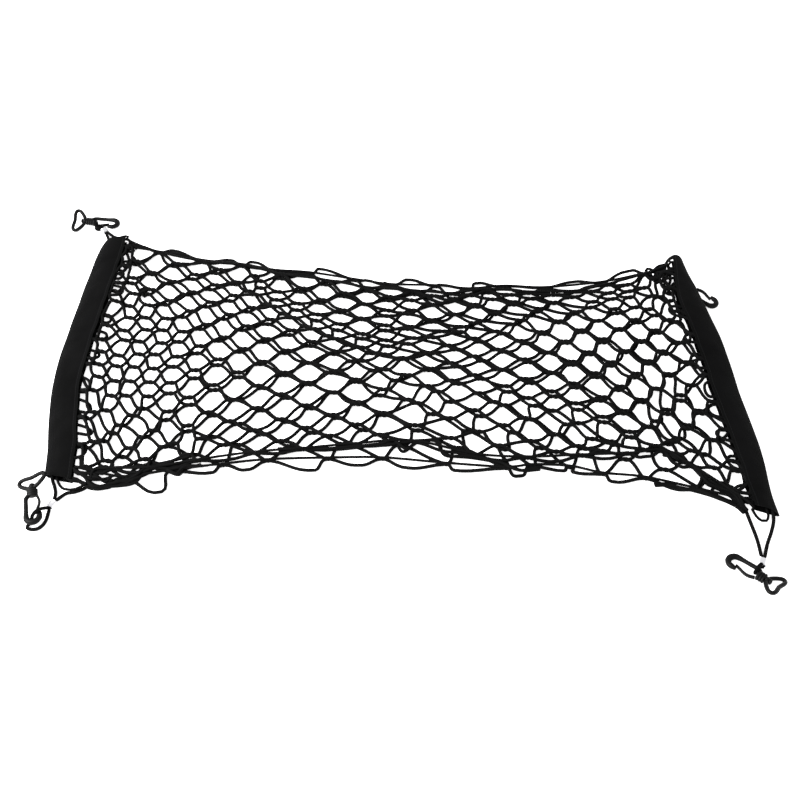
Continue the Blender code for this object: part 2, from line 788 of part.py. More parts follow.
def build_crimp(shop, row):
    """The flattened metal sleeve round both runs of a corner cord."""
    start, end = Vector(row.crimp_in), Vector(row.crimp_out)
    along = (end - start).normalized()
    reach = CORD_D * SQUEEZED / 2 + GAP + 0.1 + CRIMP_WALL / 2
    outline = []
    for sign in (1, -1):
        for step in range(CRIMP_ROUND):
            turn = CRIMP_SWEEP * (step / (CRIMP_ROUND - 1) - 0.5)
            outline.append((sign * (RUN_OFFSET + reach * math.cos(turn)), sign * reach * math.sin(turn)))
    mesh = bpy.data.meshes.new("crimp_" + row.corner)
    work = bmesh.new()
    ends = []
    for x in (-CRIMP_LENGTH / 2, CRIMP_LENGTH / 2):
        ends.append([work.verts.new((x * MM, y * MM, z * MM)) for y, z in outline])
    for k in range(len(outline)):
        after = (k + 1) % len(outline)
        work.faces.new((ends[0][k], ends[0][after], ends[1][after], ends[1][k]))
    bmesh.ops.recalc_face_normals(work, faces=work.faces)
    work.to_mesh(mesh)
    work.free()
    crimp = shop.add("crimp_" + row.corner, mesh, METAL)
    crimp.location = (start + end) / 2 * MM
    crimp.rotation_euler = (0.0, 0.0, math.atan2(along.y, along.x))
    wall = crimp.modifiers.new("wall", "SOLIDIFY")
    wall.thickness = CRIMP_WALL * MM
    wall.offset = 0.0


def build_cords(shop, lower, upper, hooks):
    """The hem cords of both layers, the corner cords and their crimps."""
    ends = {}
    for edge, far in (("near", False), ("far", True)):
        points = lower.hem(far, *HEM_SPAN[edge], HEM_STEPS)
        ends[edge + "_left"] = (points[0], points[1])
        ends[edge + "_right"] = (points[-1], points[-2])
        shop.tube(f"hem_{edge}_lower", points, HEM_D, ELASTIC)
        run = upper.hem(far, *UPPER_HEM_SPAN[edge], HEM_STEPS)
        left = smooth_route([Vector(p) for p in UPPER_HEM_ENDS[edge + "_left"]] + run[:1])
        right = smooth_route(run[-1:] + [Vector(p) for p in UPPER_HEM_ENDS[edge + "_right"]])
        shop.tube(f"hem_{edge}_upper", left[:-1] + run + right[1:], HEM_D, ELASTIC)
    for row in CORNERS:
        route = corner_route(row, hooks[row.corner], *ends[row.corner])
        points = smooth_route(route)
        for point in points:
            point.z = max(point.z, CORD_D / 2 + FLOOR_GAP)
        shop.tube("corner_cord_" + row.corner, points, CORD_D, ELASTIC, radii=squeezed(row, points))
        build_crimp(shop, row)


def main():
    """Builds every piece of the net."""
    shop = Workshop()
    lower = MeshLayer("net_lower", LOWER_EDGES, LOWER_Z)
    upper = MeshLayer("net_upper", UPPER_EDGES, UPPER_Z)
    lower.build(shop)
    upper.build(shop)
    Band("band_left", BAND_LEFT, -1).build(shop)
    Band("band_right", BAND_RIGHT, 1).build(shop)
    hooks = {row.corner: Hook(row) for row in HOOKS}
    for hook in hooks.values():
        hook.build(shop)
    build_cords(shop, lower, upper, hooks)


main()
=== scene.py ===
"""Looks of an elastic envelope cargo net that lies flat on a pale floor.

Two stacked layers of open mesh are built cord by cord, twisted together in pairs at every joint. A folded
cloth band takes up both ends, elastic hem cords run along the edges, and each corner has a snap hook with a
gate and a D-ring on a cord loop that a pressed metal sleeve closes.

Tables are in millimetres in the plan frame of the net, whose middle lies PLAN_SHIFT away from the origin of
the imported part; meshes are in metres in the part's own frame: +X along the length, +Y away from the near
edge, +Z up.
"""

from __future__ import annotations

import json
import logging
import math
from dataclasses import dataclass
from enum import Enum
from typing import Iterable, Sequence

import bmesh
import bpy
import numpy as np
from mathutils import Matrix, Vector, noise

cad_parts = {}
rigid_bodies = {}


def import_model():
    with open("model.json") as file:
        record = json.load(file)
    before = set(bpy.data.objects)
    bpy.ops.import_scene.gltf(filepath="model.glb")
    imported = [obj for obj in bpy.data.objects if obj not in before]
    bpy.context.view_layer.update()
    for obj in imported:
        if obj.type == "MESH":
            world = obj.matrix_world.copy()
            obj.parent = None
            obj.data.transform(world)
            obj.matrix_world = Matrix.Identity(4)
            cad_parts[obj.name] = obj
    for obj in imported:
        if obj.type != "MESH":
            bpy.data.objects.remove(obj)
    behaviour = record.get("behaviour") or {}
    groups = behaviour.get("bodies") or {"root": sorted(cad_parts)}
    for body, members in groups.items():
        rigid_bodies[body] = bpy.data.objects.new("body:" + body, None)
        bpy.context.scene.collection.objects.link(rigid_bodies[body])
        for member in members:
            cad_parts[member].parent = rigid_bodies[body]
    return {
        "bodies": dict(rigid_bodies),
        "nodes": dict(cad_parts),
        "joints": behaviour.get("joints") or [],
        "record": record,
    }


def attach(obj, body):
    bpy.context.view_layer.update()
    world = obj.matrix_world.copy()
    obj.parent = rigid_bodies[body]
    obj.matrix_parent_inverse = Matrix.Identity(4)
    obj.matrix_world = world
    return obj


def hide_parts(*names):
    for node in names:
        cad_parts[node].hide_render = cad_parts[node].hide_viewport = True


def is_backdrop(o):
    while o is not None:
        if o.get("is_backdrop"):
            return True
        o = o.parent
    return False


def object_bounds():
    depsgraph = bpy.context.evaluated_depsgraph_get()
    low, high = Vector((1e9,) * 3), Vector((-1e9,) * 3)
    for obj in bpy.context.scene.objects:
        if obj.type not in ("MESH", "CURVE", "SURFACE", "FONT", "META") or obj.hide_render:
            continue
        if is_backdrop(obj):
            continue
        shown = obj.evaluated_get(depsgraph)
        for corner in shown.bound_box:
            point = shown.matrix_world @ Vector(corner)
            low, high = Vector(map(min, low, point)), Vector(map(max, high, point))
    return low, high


LOG = logging.getLogger("cargo_net")

MM = 0.001
PLAN_SHIFT = (1.5, 16.3)
ROOT_BODY = "net"
# the area of each layer's strands in square metres; the lower layer's area has its slack loops in it
LOWER_AREA = 0.160
UPPER_AREA = 0.130


class Slot(Enum):
    """The record's material slots."""

    ELASTIC = "elastic_cord"
    CLOTH = "band_cloth"
    PLASTIC = "hook_plastic"
    METAL = "crimp_metal"


class Layer(Enum):
    """The two layers of the mesh."""

    LOWER = "lower"
    UPPER = "upper"


class Bar(Enum):
    """The bar of a hook that its cord loop goes round."""

    SPINE = "spine"
    GATE = "gate"
    NOSE = "nose"


# ------------------------------------------------------------------------------------------ tables


@dataclass(frozen=True)
class EdgeRow:
    """One station along the length: the near and the far edge of the mesh, in plan."""

    near_x: float
    near_y: float
    far_x: float
    far_y: float


EDGES = (
    EdgeRow(-382, -198, -418, 229),
    EdgeRow(-290, -203, -320, 215),
    EdgeRow(-190, -178, -215, 200),
    EdgeRow(-80, -161, -110, 188),
    EdgeRow(30, -155, -5, 174),
    EdgeRow(140, -156, 100, 176),
    EdgeRow(250, -158, 205, 183),
    EdgeRow(357, -168, 305, 194),
    EdgeRow(470, -192, 411, 222),
)
# how far the left and the right end of the mesh bow along the length, half way across
LEFT_BOW = -15.0
RIGHT_BOW = 4.0

# where the joints of the mesh lie in plan: in each layer a row for each half column, from the left, with its
# joints from the near edge to the far edge
JOINTS = {
    Layer.LOWER: (
        (
            (-391, -170), (-401, -121), (-409, -72), (-415, -24), (-420, 22), (-423, 69), (-424, 114), (-424, 159),
            (-423, 203),
        ),
        (
            (-359, -202), (-366, -160), (-377, -112), (-381, -63), (-385, -16), (-392, 30), (-395, 76),
            (-398, 127), (-405, 165), (-408, 217),
        ),
        (
            (-333, -189), (-346, -147), (-355, -96), (-355, -44), (-362, 3), (-366, 51), (-370, 100), (-378, 147),
            (-383, 188),
        ),
        (
            (-305, -203), (-316, -171), (-330, -120), (-335, -69), (-336, -17), (-340, 31), (-342, 78),
            (-351, 126), (-353, 168), (-352, 216),
        ),
        (
            (-284, -183), (-296, -137), (-308, -90), (-309, -43), (-313, 8), (-312, 55), (-321, 106), (-326, 150),
            (-326, 188),
        ),
        (
            (-250, -189), (-266, -151), (-274, -107), (-278, -61), (-284, -13), (-286, 34), (-291, 83),
            (-294, 129), (-292, 162), (-283, 202),
        ),
        (
            (-226, -162), (-242, -124), (-247, -79), (-251, -32), (-257, 14), (-262, 61), (-263, 106), (-263, 142),
            (-261, 177),
        ),
        (
            (-187, -175), (-207, -131), (-213, -95), (-220, -51), (-225, -6), (-232, 40), (-233, 83), (-230, 120),
            (-228, 155), (-223, 197),
        ),
        (
            (-174, -142), (-178, -107), (-187, -66), (-192, -26), (-200, 21), (-204, 63), (-203, 100), (-205, 142),
            (-202, 175),
        ),
        (
            (-132, -164), (-144, -122), (-152, -82), (-156, -43), (-168, 0), (-170, 42), (-170, 77), (-176, 116),
            (-190, 150), (-175, 188),
        ),
        (
            (-106, -139), (-115, -99), (-122, -58), (-132, -18), (-138, 23), (-136, 58), (-148, 99), (-164, 127),
            (-163, 172),
        ),
        (
            (-57, -156), (-80, -115), (-89, -74), (-96, -32), (-104, 7), (-104, 39), (-114, 76), (-132, 108),
            (-132, 146), (-122, 186),
        ),
        ((-39, -131), (-51, -88), (-61, -44), (-71, -9), (-71, 26), (-82, 60), (-102, 89), (-102, 125), (-98, 164)),
        (
            (11, -151), (-15, -106), (-28, -59), (-35, -19), (-43, 14), (-49, 44), (-70, 72), (-71, 108),
            (-69, 141), (-55, 176),
        ),
        ((33, -128), (7, -79), (-1, -45), (-11, -1), (-19, 31), (-35, 58), (-40, 98), (-39, 127), (-33, 154)),
        ((91, -154), (52, -102), (37, -50), (19, -17), (22, 23), (2, 46), (-4, 76), (-5, 105), (-4, 137), (-2, 169)),
        ((106, -127), (70, -73), (61, -24), (60, 5), (51, 35), (37, 64), (33, 86), (33, 119), (32, 152)),
        ((166, -155), (117, -99), (92, -50), (92, -12), (91, 20), (86, 53), (78, 80), (65, 98), (66, 132), (63, 171)),
        ((164, -125), (133, -72), (130, -32), (123, 0), (122, 35), (121, 69), (108, 91), (97, 115), (90, 147)),
        (
            (199, -149), (176, -97), (164, -51), (165, -17), (156, 13), (153, 50), (151, 85), (133, 105),
            (120, 137), (112, 168),
        ),
        ((210, -120), (198, -73), (194, -36), (191, -2), (190, 34), (185, 69), (176, 101), (156, 125), (138, 163)),
        (
            (246, -148), (233, -96), (226, -56), (225, -22), (223, 12), (218, 49), (213, 88), (198, 120),
            (176, 146), (162, 177),
        ),
        ((265, -117), (258, -75), (256, -41), (255, -6), (255, 34), (246, 72), (237, 109), (214, 135), (195, 166)),
        (
            (286, -156), (300, -103), (290, -62), (294, -28), (285, 14), (277, 52), (268, 94), (258, 126),
            (233, 149), (220, 178),
        ),
        ((315, -131), (323, -85), (321, -50), (318, -8), (308, 34), (298, 76), (292, 111), (282, 138), (268, 173)),
        (
            (339, -159), (343, -114), (348, -75), (344, -33), (340, 15), (330, 54), (322, 92), (318, 124),
            (314, 153), (303, 188),
        ),
        ((364, -144), (371, -102), (360, -65), (363, -9), (357, 37), (352, 72), (346, 105), (345, 134), (338, 167)),
        (
            (413, -175), (391, -131), (386, -92), (375, -44), (383, 14), (376, 55), (373, 87), (372, 119),
            (371, 157), (365, 204),
        ),
        ((431, -161), (415, -116), (401, -69), (395, -18), (405, 38), (398, 71), (398, 107), (393, 147), (383, 188)),
        (
            (462, -189), (452, -141), (432, -92), (416, -43), (429, 15), (422, 50), (417, 86), (411, 123),
            (406, 170), (404, 215),
        ),
        ((471, -164), (466, -116), (460, -68), (454, -22), (447, 24), (440, 69), (433, 112), (426, 155), (419, 197)),
    ),
    Layer.UPPER: (
        (
            (-372, -159), (-382, -114), (-390, -68), (-397, -20), (-402, 26), (-405, 73), (-407, 117), (-408, 160),
            (-407, 200),
        ),
        (
            (-355, -194), (-354, -153), (-368, -104), (-378, -42), (-385, 4), (-390, 54), (-389, 103), (-395, 141),
            (-392, 178), (-396, 221),
        ),
        (
            (-331, -182), (-335, -137), (-353, -74), (-358, -21), (-358, 28), (-362, 72), (-367, 121), (-377, 154),
            (-379, 190),
        ),
        (
            (-318, -194), (-307, -160), (-316, -106), (-334, -47), (-333, 3), (-333, 50), (-341, 99), (-343, 131),
            (-349, 167), (-348, 210),
        ),
        (
            (-285, -176), (-284, -129), (-304, -72), (-308, -22), (-307, 26), (-310, 74), (-311, 110), (-315, 150),
            (-318, 189),
        ),
        (
            (-272, -189), (-255, -149), (-272, -96), (-279, -46), (-281, 2), (-282, 50), (-278, 91), (-283, 130),
            (-287, 167), (-278, 194),
        ),
        (
            (-234, -166), (-242, -118), (-250, -70), (-251, -21), (-253, 24), (-250, 66), (-252, 111), (-253, 147),
            (-253, 180),
        ),
        (
            (-216, -173), (-221, -138), (-221, -94), (-222, -46), (-222, 1), (-222, 43), (-222, 88), (-223, 127),
            (-222, 155), (-222, 190),
        ),
        (
            (-189, -146), (-190, -107), (-194, -70), (-193, -21), (-192, 23), (-195, 67), (-193, 104), (-193, 131),
            (-191, 160),
        ),
        (
            (-148, -156), (-156, -120), (-158, -82), (-163, -43), (-162, 1), (-163, 44), (-163, 82), (-163, 109),
            (-161, 139), (-160, 175),
        ),
        (
            (-120, -135), (-124, -99), (-131, -56), (-131, -17), (-133, 24), (-130, 63), (-133, 88), (-130, 117),
            (-127, 149),
        ),
        (
            (-89, -146), (-90, -111), (-95, -73), (-98, -33), (-97, 3), (-100, 43), (-101, 68), (-101, 97),
            (-96, 127), (-94, 167),
        ),
        ((-58, -122), (-59, -87), (-62, -48), (-62, -9), (-64, 27), (-68, 51), (-67, 80), (-64, 108), (-66, 143)),
        (
            (-25, -134), (-26, -101), (-28, -66), (-31, -27), (-30, 12), (-32, 37), (-34, 63), (-33, 91),
            (-33, 122), (-37, 156),
        ),
        ((4, -116), (7, -79), (6, -38), (3, -2), (0, 26), (-1, 53), (-3, 82), (-2, 112), (-1, 140)),
        ((47, -124), (48, -97), (50, -59), (35, -10), (31, 21), (30, 48), (27, 77), (25, 107), (29, 135), (31, 154)),
        ((95, -115), (93, -82), (75, -37), (65, 4), (64, 33), (63, 63), (56, 97), (56, 128), (57, 146)),
        (
            (127, -140), (131, -102), (124, -66), (101, -21), (101, 10), (99, 42), (101, 76), (88, 110), (87, 138),
            (85, 152),
        ),
        ((157, -123), (163, -89), (150, -50), (133, -10), (134, 23), (130, 59), (121, 95), (123, 128), (114, 151)),
        (
            (193, -140), (196, -113), (190, -75), (168, -31), (165, 8), (164, 42), (162, 77), (148, 115),
            (144, 145), (138, 164),
        ),
        ((228, -128), (226, -100), (202, -53), (198, -13), (197, 25), (193, 60), (186, 105), (174, 136), (171, 156)),
        (
            (261, -132), (256, -117), (246, -82), (229, -35), (231, 7), (226, 45), (216, 80), (207, 124),
            (201, 150), (201, 163),
        ),
        ((287, -123), (274, -104), (258, -56), (257, -17), (254, 24), (247, 65), (239, 107), (231, 143), (230, 160)),
        (
            (322, -125), (306, -112), (291, -75), (288, -38), (285, 3), (278, 44), (269, 86), (265, 126),
            (257, 156), (259, 167),
        ),
        ((336, -117), (324, -98), (316, -58), (312, -18), (305, 24), (297, 66), (292, 107), (286, 145), (283, 166)),
        (
            (362, -118), (355, -110), (352, -79), (342, -33), (334, 5), (325, 48), (319, 90), (315, 128),
            (310, 161), (307, 178),
        ),
        ((379, -121), (378, -101), (373, -55), (364, -13), (354, 29), (347, 66), (342, 106), (337, 150), (335, 176)),
        (
            (397, -140), (402, -115), (397, -78), (393, -31), (380, 13), (379, 47), (368, 87), (362, 126),
            (358, 169), (359, 196),
        ),
        ((423, -140), (426, -95), (418, -51), (410, -4), (412, 31), (404, 67), (387, 107), (378, 151), (375, 189)),
        (
            (445, -175), (448, -129), (445, -77), (435, -31), (436, 14), (428, 42), (422, 83), (402, 123),
            (394, 169), (389, 203),
        ),
        ((474, -158), (469, -115), (463, -70), (457, -23), (451, 23), (444, 67), (437, 110), (430, 151), (423, 189)),
    ),
}

# the tip of the slack loop that hangs out past the hem between each two joints of the hem, from the left
LOOP_TIPS = {
    (Layer.LOWER, "near"): (
        (-338, -220), (-259, -222), (-202, -188), (-157, -180), (-75, -175), (-17, -163), (47, -163), (107, -163),
        (183, -166), (235, -154), (253, -156), (301, -167), (374, -173), (448, -190),
    ),
    (Layer.UPPER, "near"): (
        (-337, -201), (-295, -197), (-244, -187), (-182, -169), (-118, -154), (-57, -144), (11, -132), (87, -136),
        (160, -146), (227, -143), (291, -134), (342, -127), (380, -138), (421, -163),
    ),
    (Layer.LOWER, "far"): (
        (-394, 230), (-328, 222), (-244, 207), (-206, 205), (-136, 189), (-106, 197), (-36, 177), (23, 183),
        (73, 175), (124, 183), (177, 180), (263, 194), (342, 211), (390, 224),
    ),
    (Layer.UPPER, "far"): (
        (-372, 221), (-313, 210), (-250, 197), (-191, 187), (-127, 178), (-65, 166), (-3, 161), (58, 158),
        (112, 164), (170, 168), (230, 171), (283, 178), (333, 192), (374, 205),
    ),
}


@dataclass(frozen=True)
class BunchRow:
    """A place where slack loops crowd together: its middle in plan, its size, its height and their count."""

    x: float
    y: float
    wide: float
    deep: float
    high: float
    count: int


BUNCHES = (
    BunchRow(-386, 182, 12, 16, 8.0, 2),
    BunchRow(-391, 219, 15, 17, 7.0, 2),
    BunchRow(-360, 127, 10, 14, 7.0, 2),
    BunchRow(372, 208, 13, 17, 8.0, 2),
    BunchRow(383, 194, 12, 15, 8.0, 1),
)


@dataclass(frozen=True)
class GatherRow:
    """Slack mesh that runs gathered on a hem: its middle line in plan, its height, spread and count of cords."""

    line: tuple[tuple[float, float], ...]
    high: float
    spread: float
    count: int


GATHERS = (
    GatherRow(
        (
            (-368, -198), (-354, -208), (-335, -218), (-312, -214), (-293, -208), (-280, -192), (-269, -180),
            (-244, -183), (-228, -172),
        ),
        8.0,
        3.2,
        3,
    ),
    GatherRow(((-368, -198), (-352, -205), (-340, -210), (-329, -211), (-319, -209)), 9.0, 5.0, 3),
    GatherRow(((-368, -196), (-340, -197), (-318, -191), (-277, -182), (-229, -168)), 8.0, 1.2, 1),
    GatherRow(
        (
            (-313, -213), (-293, -207), (-286, -189), (-278, -178), (-265, -181), (-252, -192), (-240, -195),
            (-230, -184), (-214, -179),
        ),
        8.0,
        2.2,
        2,
    ),
    GatherRow(
        (
            (-119, -147), (-53, -142), (7, -131), (24, -124), (39, -137), (55, -122), (77, -121), (91, -140),
            (126, -145), (161, -148), (182, -161), (208, -156),
        ),
        9.0,
        2.4,
        2,
    ),
    GatherRow(
        (
            (365, -118), (379, -127), (393, -132), (405, -146), (416, -165), (439, -177), (451, -196), (453, -203),
        ),
        8.0,
        3.0,
        3,
    ),
    GatherRow(
        (
            (349, -168), (368, -169), (386, -173), (402, -176), (421, -184), (440, -195), (451, -206),
        ),
        6.0,
        2.0,
        2,
    ),
    GatherRow(((398, -135), (405, -146), (410, -159), (404, -172)), 8.0, 4.0, 3),
    GatherRow(((-378, -209), (-366, -213), (-354, -217), (-344, -221), (-334, -223), (-320, -219)), 6.0, 2.2, 4),
    GatherRow(((409, -156), (416, -166), (429, -166), (443, -169), (450, -182), (452, -199)), 8.0, 2.4, 2),
    GatherRow(
        (
            (-12, 168), (6, 163), (38, 154), (59, 141), (78, 135), (99, 147), (118, 160), (138, 170),
        ),
        9.0,
        2.0,
        2,
    ),
)


@dataclass(frozen=True)
class BandRow:
    """One station along a band: the middle of the folded strip in plan, and its width there."""

    x: float
    y: float
    width: float


# the folded strip's section, from the lip of its upper face round the fold to that of its lower face: share of
# the width from the mouth, and height of the cloth's middle
BAND_SECTION = (
    (0.0, 10.6), (0.05, 10.5), (0.10, 10.1), (0.16, 10.5), (0.25, 10.9), (0.38, 11.1), (0.50, 10.8), (0.60, 10.2),
    (0.70, 9.2), (0.78, 8.2), (0.85, 7.0), (0.91, 5.8), (0.96, 4.5), (0.99, 3.4), (1.0, 2.5), (0.985, 1.6),
    (0.95, 0.9), (0.88, 0.55), (0.6, 0.55), (0.3, 0.55), (0.0, 0.55),
)
BAND_LEFT = tuple(
    BandRow(*row)
    for row in (
        (-386.5, -203, 37), (-394, -165, 38), (-404, -125, 38), (-412, -85, 38), (-418.5, -45, 38), (-421.5, 5, 39),
        (-422.5, 55, 39), (-423, 105, 39), (-423, 155, 39), (-423, 205, 38), (-422.5, 224, 35), (-421.5, 238.5, 30),
    )
)
BAND_RIGHT = tuple(
    BandRow(*row)
    for row in (
        (480.5, -205, 29), (477, -180, 29), (472.5, -125, 33), (466, -75, 36), (455.5, -15, 37), (447, 40, 38),
        (438, 85, 38), (429, 120, 38), (422.5, 150, 36), (418, 180, 30), (415, 206, 22), (414, 224, 17),
        (413, 240, 15),
    )
)
# the right band is held up where it passes over the far hook: how high, where across the net it starts to climb
# and is up, where and by what share it comes down again, and where along the net the mesh climbs with it
HOOK_LIFT = 13.8
LIFT_CLIMB = (-50, 150)
LIFT_FALL = (215, 255)
LIFT_FALL_SHARE = 0.25
LIFT_ALONG = (235, 372)
# inside a band's fold: share of its width from the mouth, height of the upper face's underside; top of the lower
# face; how much of the width the mesh fills; and how far before the mouth it starts to level out and is level
FOLD_ROOF = ((0.0, 0.55, 0.70, 0.82, 0.91, 1.0), (10.3, 10.1, 8.9, 7.2, 5.6, 3.4))
FOLD_GROUND = 1.1
FOLD_DEPTH = 0.80
FOLD_APPROACH = 12.0
FOLD_LEVEL = 2.0
# the mesh climbs this much before a mouth, starting this far from it and ending this far from it
MOUTH_RISE = 2.1
MOUTH_RUN = 26.0
MOUTH_LEVEL = 5.0


@dataclass(frozen=True)
class HookRow:
    """How one hook lies: the face of its collar, the end of its nose, and its turn."""

    corner: str
    neck: tuple[float, float, float]
    nose: tuple[float, float, float]
    roll: float
    ring_turn: float


# where a D-ring's bar runs on one side of the hook's length, in the hook's frame, from the hook outwards
RING_OUTLINE = (
    (-2.7, 0.0), (-3.2, 4.8), (-6.0, 10.0), (-9.6, 14.7), (-12.9, 17.5), (-16.0, 17.8), (-18.3, 15.3),
    (-18.9, 10.7), (-18.3, 5.4), (-17.7, 0.0),
)
HOOKS = (
    HookRow("far_left", (-475.5, 274.6, 7.8), (-429.0, 276.4, 4.0), 180.0, 16.0),
    HookRow("near_left", (-409.5, -236.0, 12.2), (-396.0, -281.5, 8.3), 0.0, 22.0),
    HookRow("near_right", (463.0, -300.5, 8.8), (424.0, -269.5, 3.9), 0.0, 20.0),
    HookRow("far_right", (425.6, 188.6, 8.0), (460.4, 160.0, 3.9), 0.0, 0.0),
)


@dataclass(frozen=True)
class CornerRow:
    """One corner cord: its run from the hem to the sleeve, the sleeve, and its run on into the band."""

    corner: str
    goes_round: Bar
    from_hem: tuple[tuple[float, float, float], ...]
    sleeve_in: tuple[float, float, float]
    sleeve_out: tuple[float, float, float]
    to_band: tuple[tuple[float, float, float], ...]


CORNERS = (
    CornerRow(
        "far_left",
        Bar.GATE,
        ((-400.0, 236.0, 4.4), (-407.0, 243.0, 2.8), (-416.5, 245.0, 2.3), (-426.5, 247.0, 2.3), (-433.0, 251.5, 2.4)),
        (-441.5, 256.5, 2.8), (-447.5, 263.5, 2.8),
        ((-439.0, 249.5, 2.6), (-434.6, 241.0, 3.0), (-431.5, 231.5, 3.3)),
    ),
    CornerRow(
        "near_left",
        Bar.NOSE,
        ((-348.0, -219.0, 2.3), (-360.0, -228.5, 2.0), (-371.0, -232.0, 2.0)),
        (-382.0, -244.5, 2.8), (-385.5, -254.0, 2.8),
        ((-383.7, -232.5, 1.8), (-388.0, -222.0, 2.0), (-393.0, -212.5, 3.3), (-396.0, -197.0, 4.0)),
    ),
    CornerRow(
        "near_right",
        Bar.SPINE,
        ((456.0, -202.0, 3.6), (460.0, -220.0, 1.8), (464.0, -243.0, 1.7)),
        (466.6, -268.5, 2.8), (464.2, -278.0, 2.8),
        ((475.0, -247.0, 1.8), (482.0, -230.0, 2.0), (487.0, -214.0, 3.2), (488.5, -198.0, 4.0)),
    ),
    CornerRow(
        "far_right",
        Bar.SPINE,
        (
            (397.0, 227.0, 14.5), (400.0, 234.5, 9.0), (402.0, 230.5, 4.2), (403.0, 220.0, 2.0), (402.5, 208.0, 2.0),
            (399.0, 197.0, 2.0), (397.5, 187.0, 2.0),
        ),
        (403.0, 178.0, 2.8), (412.0, 174.5, 2.8),
        (
            (393.5, 182.0, 2.0), (392.5, 195.0, 2.0), (395.0, 208.0, 2.0), (396.0, 222.0, 2.4), (397.0, 236.0, 5.0),
            (402.0, 246.5, 8.0), (409.5, 250.5, 12.2), (415.5, 246.0, 15.0), (415.5, 233.5, 16.0),
        ),
    ),
)

# how each upper hem cord reaches its band, from the left to the right at either end
UPPER_HEM_ENDS = {
    "near_left": (
        (-390.5, -195.0, 4.2), (-388.5, -208.0, 3.8), (-384.5, -216.5, 2.8), (-378.0, -224.0, 2.4),
        (-370.5, -227.0, 4.4), (-361.0, -227.6, 6.5), (-350.5, -220.5, 6.8), (-344.5, -210.0, 8.4),
        (-343.0, -198.0, 9.4),
    ),
    "near_right": (
        (458.0, -191.0, 10.0), (462.5, -201.0, 7.6), (467.0, -209.0, 4.6), (473.0, -213.5, 2.6),
        (479.0, -213.0, 2.4), (482.0, -206.0, 3.2), (481.0, -196.0, 4.2),
    ),
    "far_left": (
        (-422.5, 231.0, 4.8), (-419.0, 241.0, 5.4), (-411.5, 244.5, 7.0), (-403.2, 241.0, 10.0),
        (-398.5, 230.5, 11.0),
    ),
    "far_right": (
        (399.0, 221.5, 22.6), (399.5, 233.0, 18.0), (402.5, 240.5, 14.6), (406.5, 243.5, 14.4), (409.5, 240.5, 15.0),
        (409.5, 231.5, 15.8),
    ),
}
# the shares of the length at which a lower hem ends, and how far along it its direction there is read
HEM_ENDS = {"near": (0.053, 0.974), "far": (0.030, 0.968)}
HEM_LEAD = 0.03


# ------------------------------------------------------------------------------------------ helpers


def smooth_at(keys: Sequence[float], values: Sequence[float], at: float) -> float:
    """Reads a table on a smooth curve through its values.

    Args:
        keys: rising keys.
        values: a value for each key.
        at: the key that is read.

    Returns:
        The value there.
    """
    index = int(np.clip(np.searchsorted(keys, at) - 1, 0, len(keys) - 2))
    slopes = np.gradient(np.asarray(values, dtype=float), np.asarray(keys, dtype=float))
    span = keys[index + 1] - keys[index]
    t = (at - keys[index]) / span
    a, b = values[index], values[index + 1]
    m0, m1 = slopes[index] * span, slopes[index + 1] * span
    t2, t3 = t * t, t * t * t
    return float((2 * t3 - 3 * t2 + 1) * a + (t3 - 2 * t2 + t) * m0 + (3 * t2 - 2 * t3) * b + (t3 - t2) * m1)


def ramp(value: float, start: float, end: float) -> float:
    """Returns 0 before start, 1 after end, and a smooth step between."""
    t = min(max((value - start) / (end - start), 0.0), 1.0)
    return t * t * (3 - 2 * t)


def smooth_path(points: np.ndarray, steps: Sequence[int] | int) -> np.ndarray:
    """Points on a smooth curve through control points.

    Args:
        points: control points, one row each.
        steps: how many steps each span is cut into, for all spans or one by one.

    Returns:
        The curve's points, one row each.
    """
    spans = len(points) - 1
    counts = [steps] * spans if isinstance(steps, int) else list(steps)
    padded = np.vstack((2 * points[0] - points[1], points, 2 * points[-1] - points[-2]))
    found = []
    for index in range(spans):
        p0, p1, p2, p3 = padded[index : index + 4]
        t = (np.arange(counts[index]) / counts[index])[:, None]
        bend = 2 * p0 - 5 * p1 + 4 * p2 - p3
        end = 3 * (p1 - p2) + p3 - p0
        found.append(p1 + t / 2 * (p2 - p0 + t * (bend + t * end)))
    found.append(points[-1:])
    return np.vstack(found)


def spaced_path(points: Sequence[Sequence[float]], spacing: float, most: int = 8) -> np.ndarray:
    """A smooth curve through control points, its own points about this far apart.

    Args:
        points: control points in millimetres.
        spacing: the wanted distance in millimetres.
        most: the most steps in one span.

    Returns:
        The curve's points in millimetres.
    """
    route = np.array([tuple(point) for point in points], dtype=float)
    reach = np.linalg.norm(np.diff(route, axis=0), axis=1)
    return smooth_path(route, [max(1, min(most, round(length / spacing))) for length in reach])


def path_length(path: np.ndarray) -> float:
    """Returns the length of a path in the path's own unit."""
    return float(np.linalg.norm(np.diff(path, axis=0), axis=1).sum())


def to_part(points: np.ndarray) -> np.ndarray:
    """Returns points of the plan frame, in millimetres, as points of the part, in metres."""
    return (np.asarray(points, dtype=float) + (*PLAN_SHIFT, 0.0)) * MM


def in_scene(name: str, data: bpy.types.ID) -> bpy.types.Object:
    """Returns a new object of this name in the scene, with this mesh, light or camera."""
    thing = bpy.data.objects.new(name, data)
    bpy.context.scene.collection.objects.link(thing)
    return thing


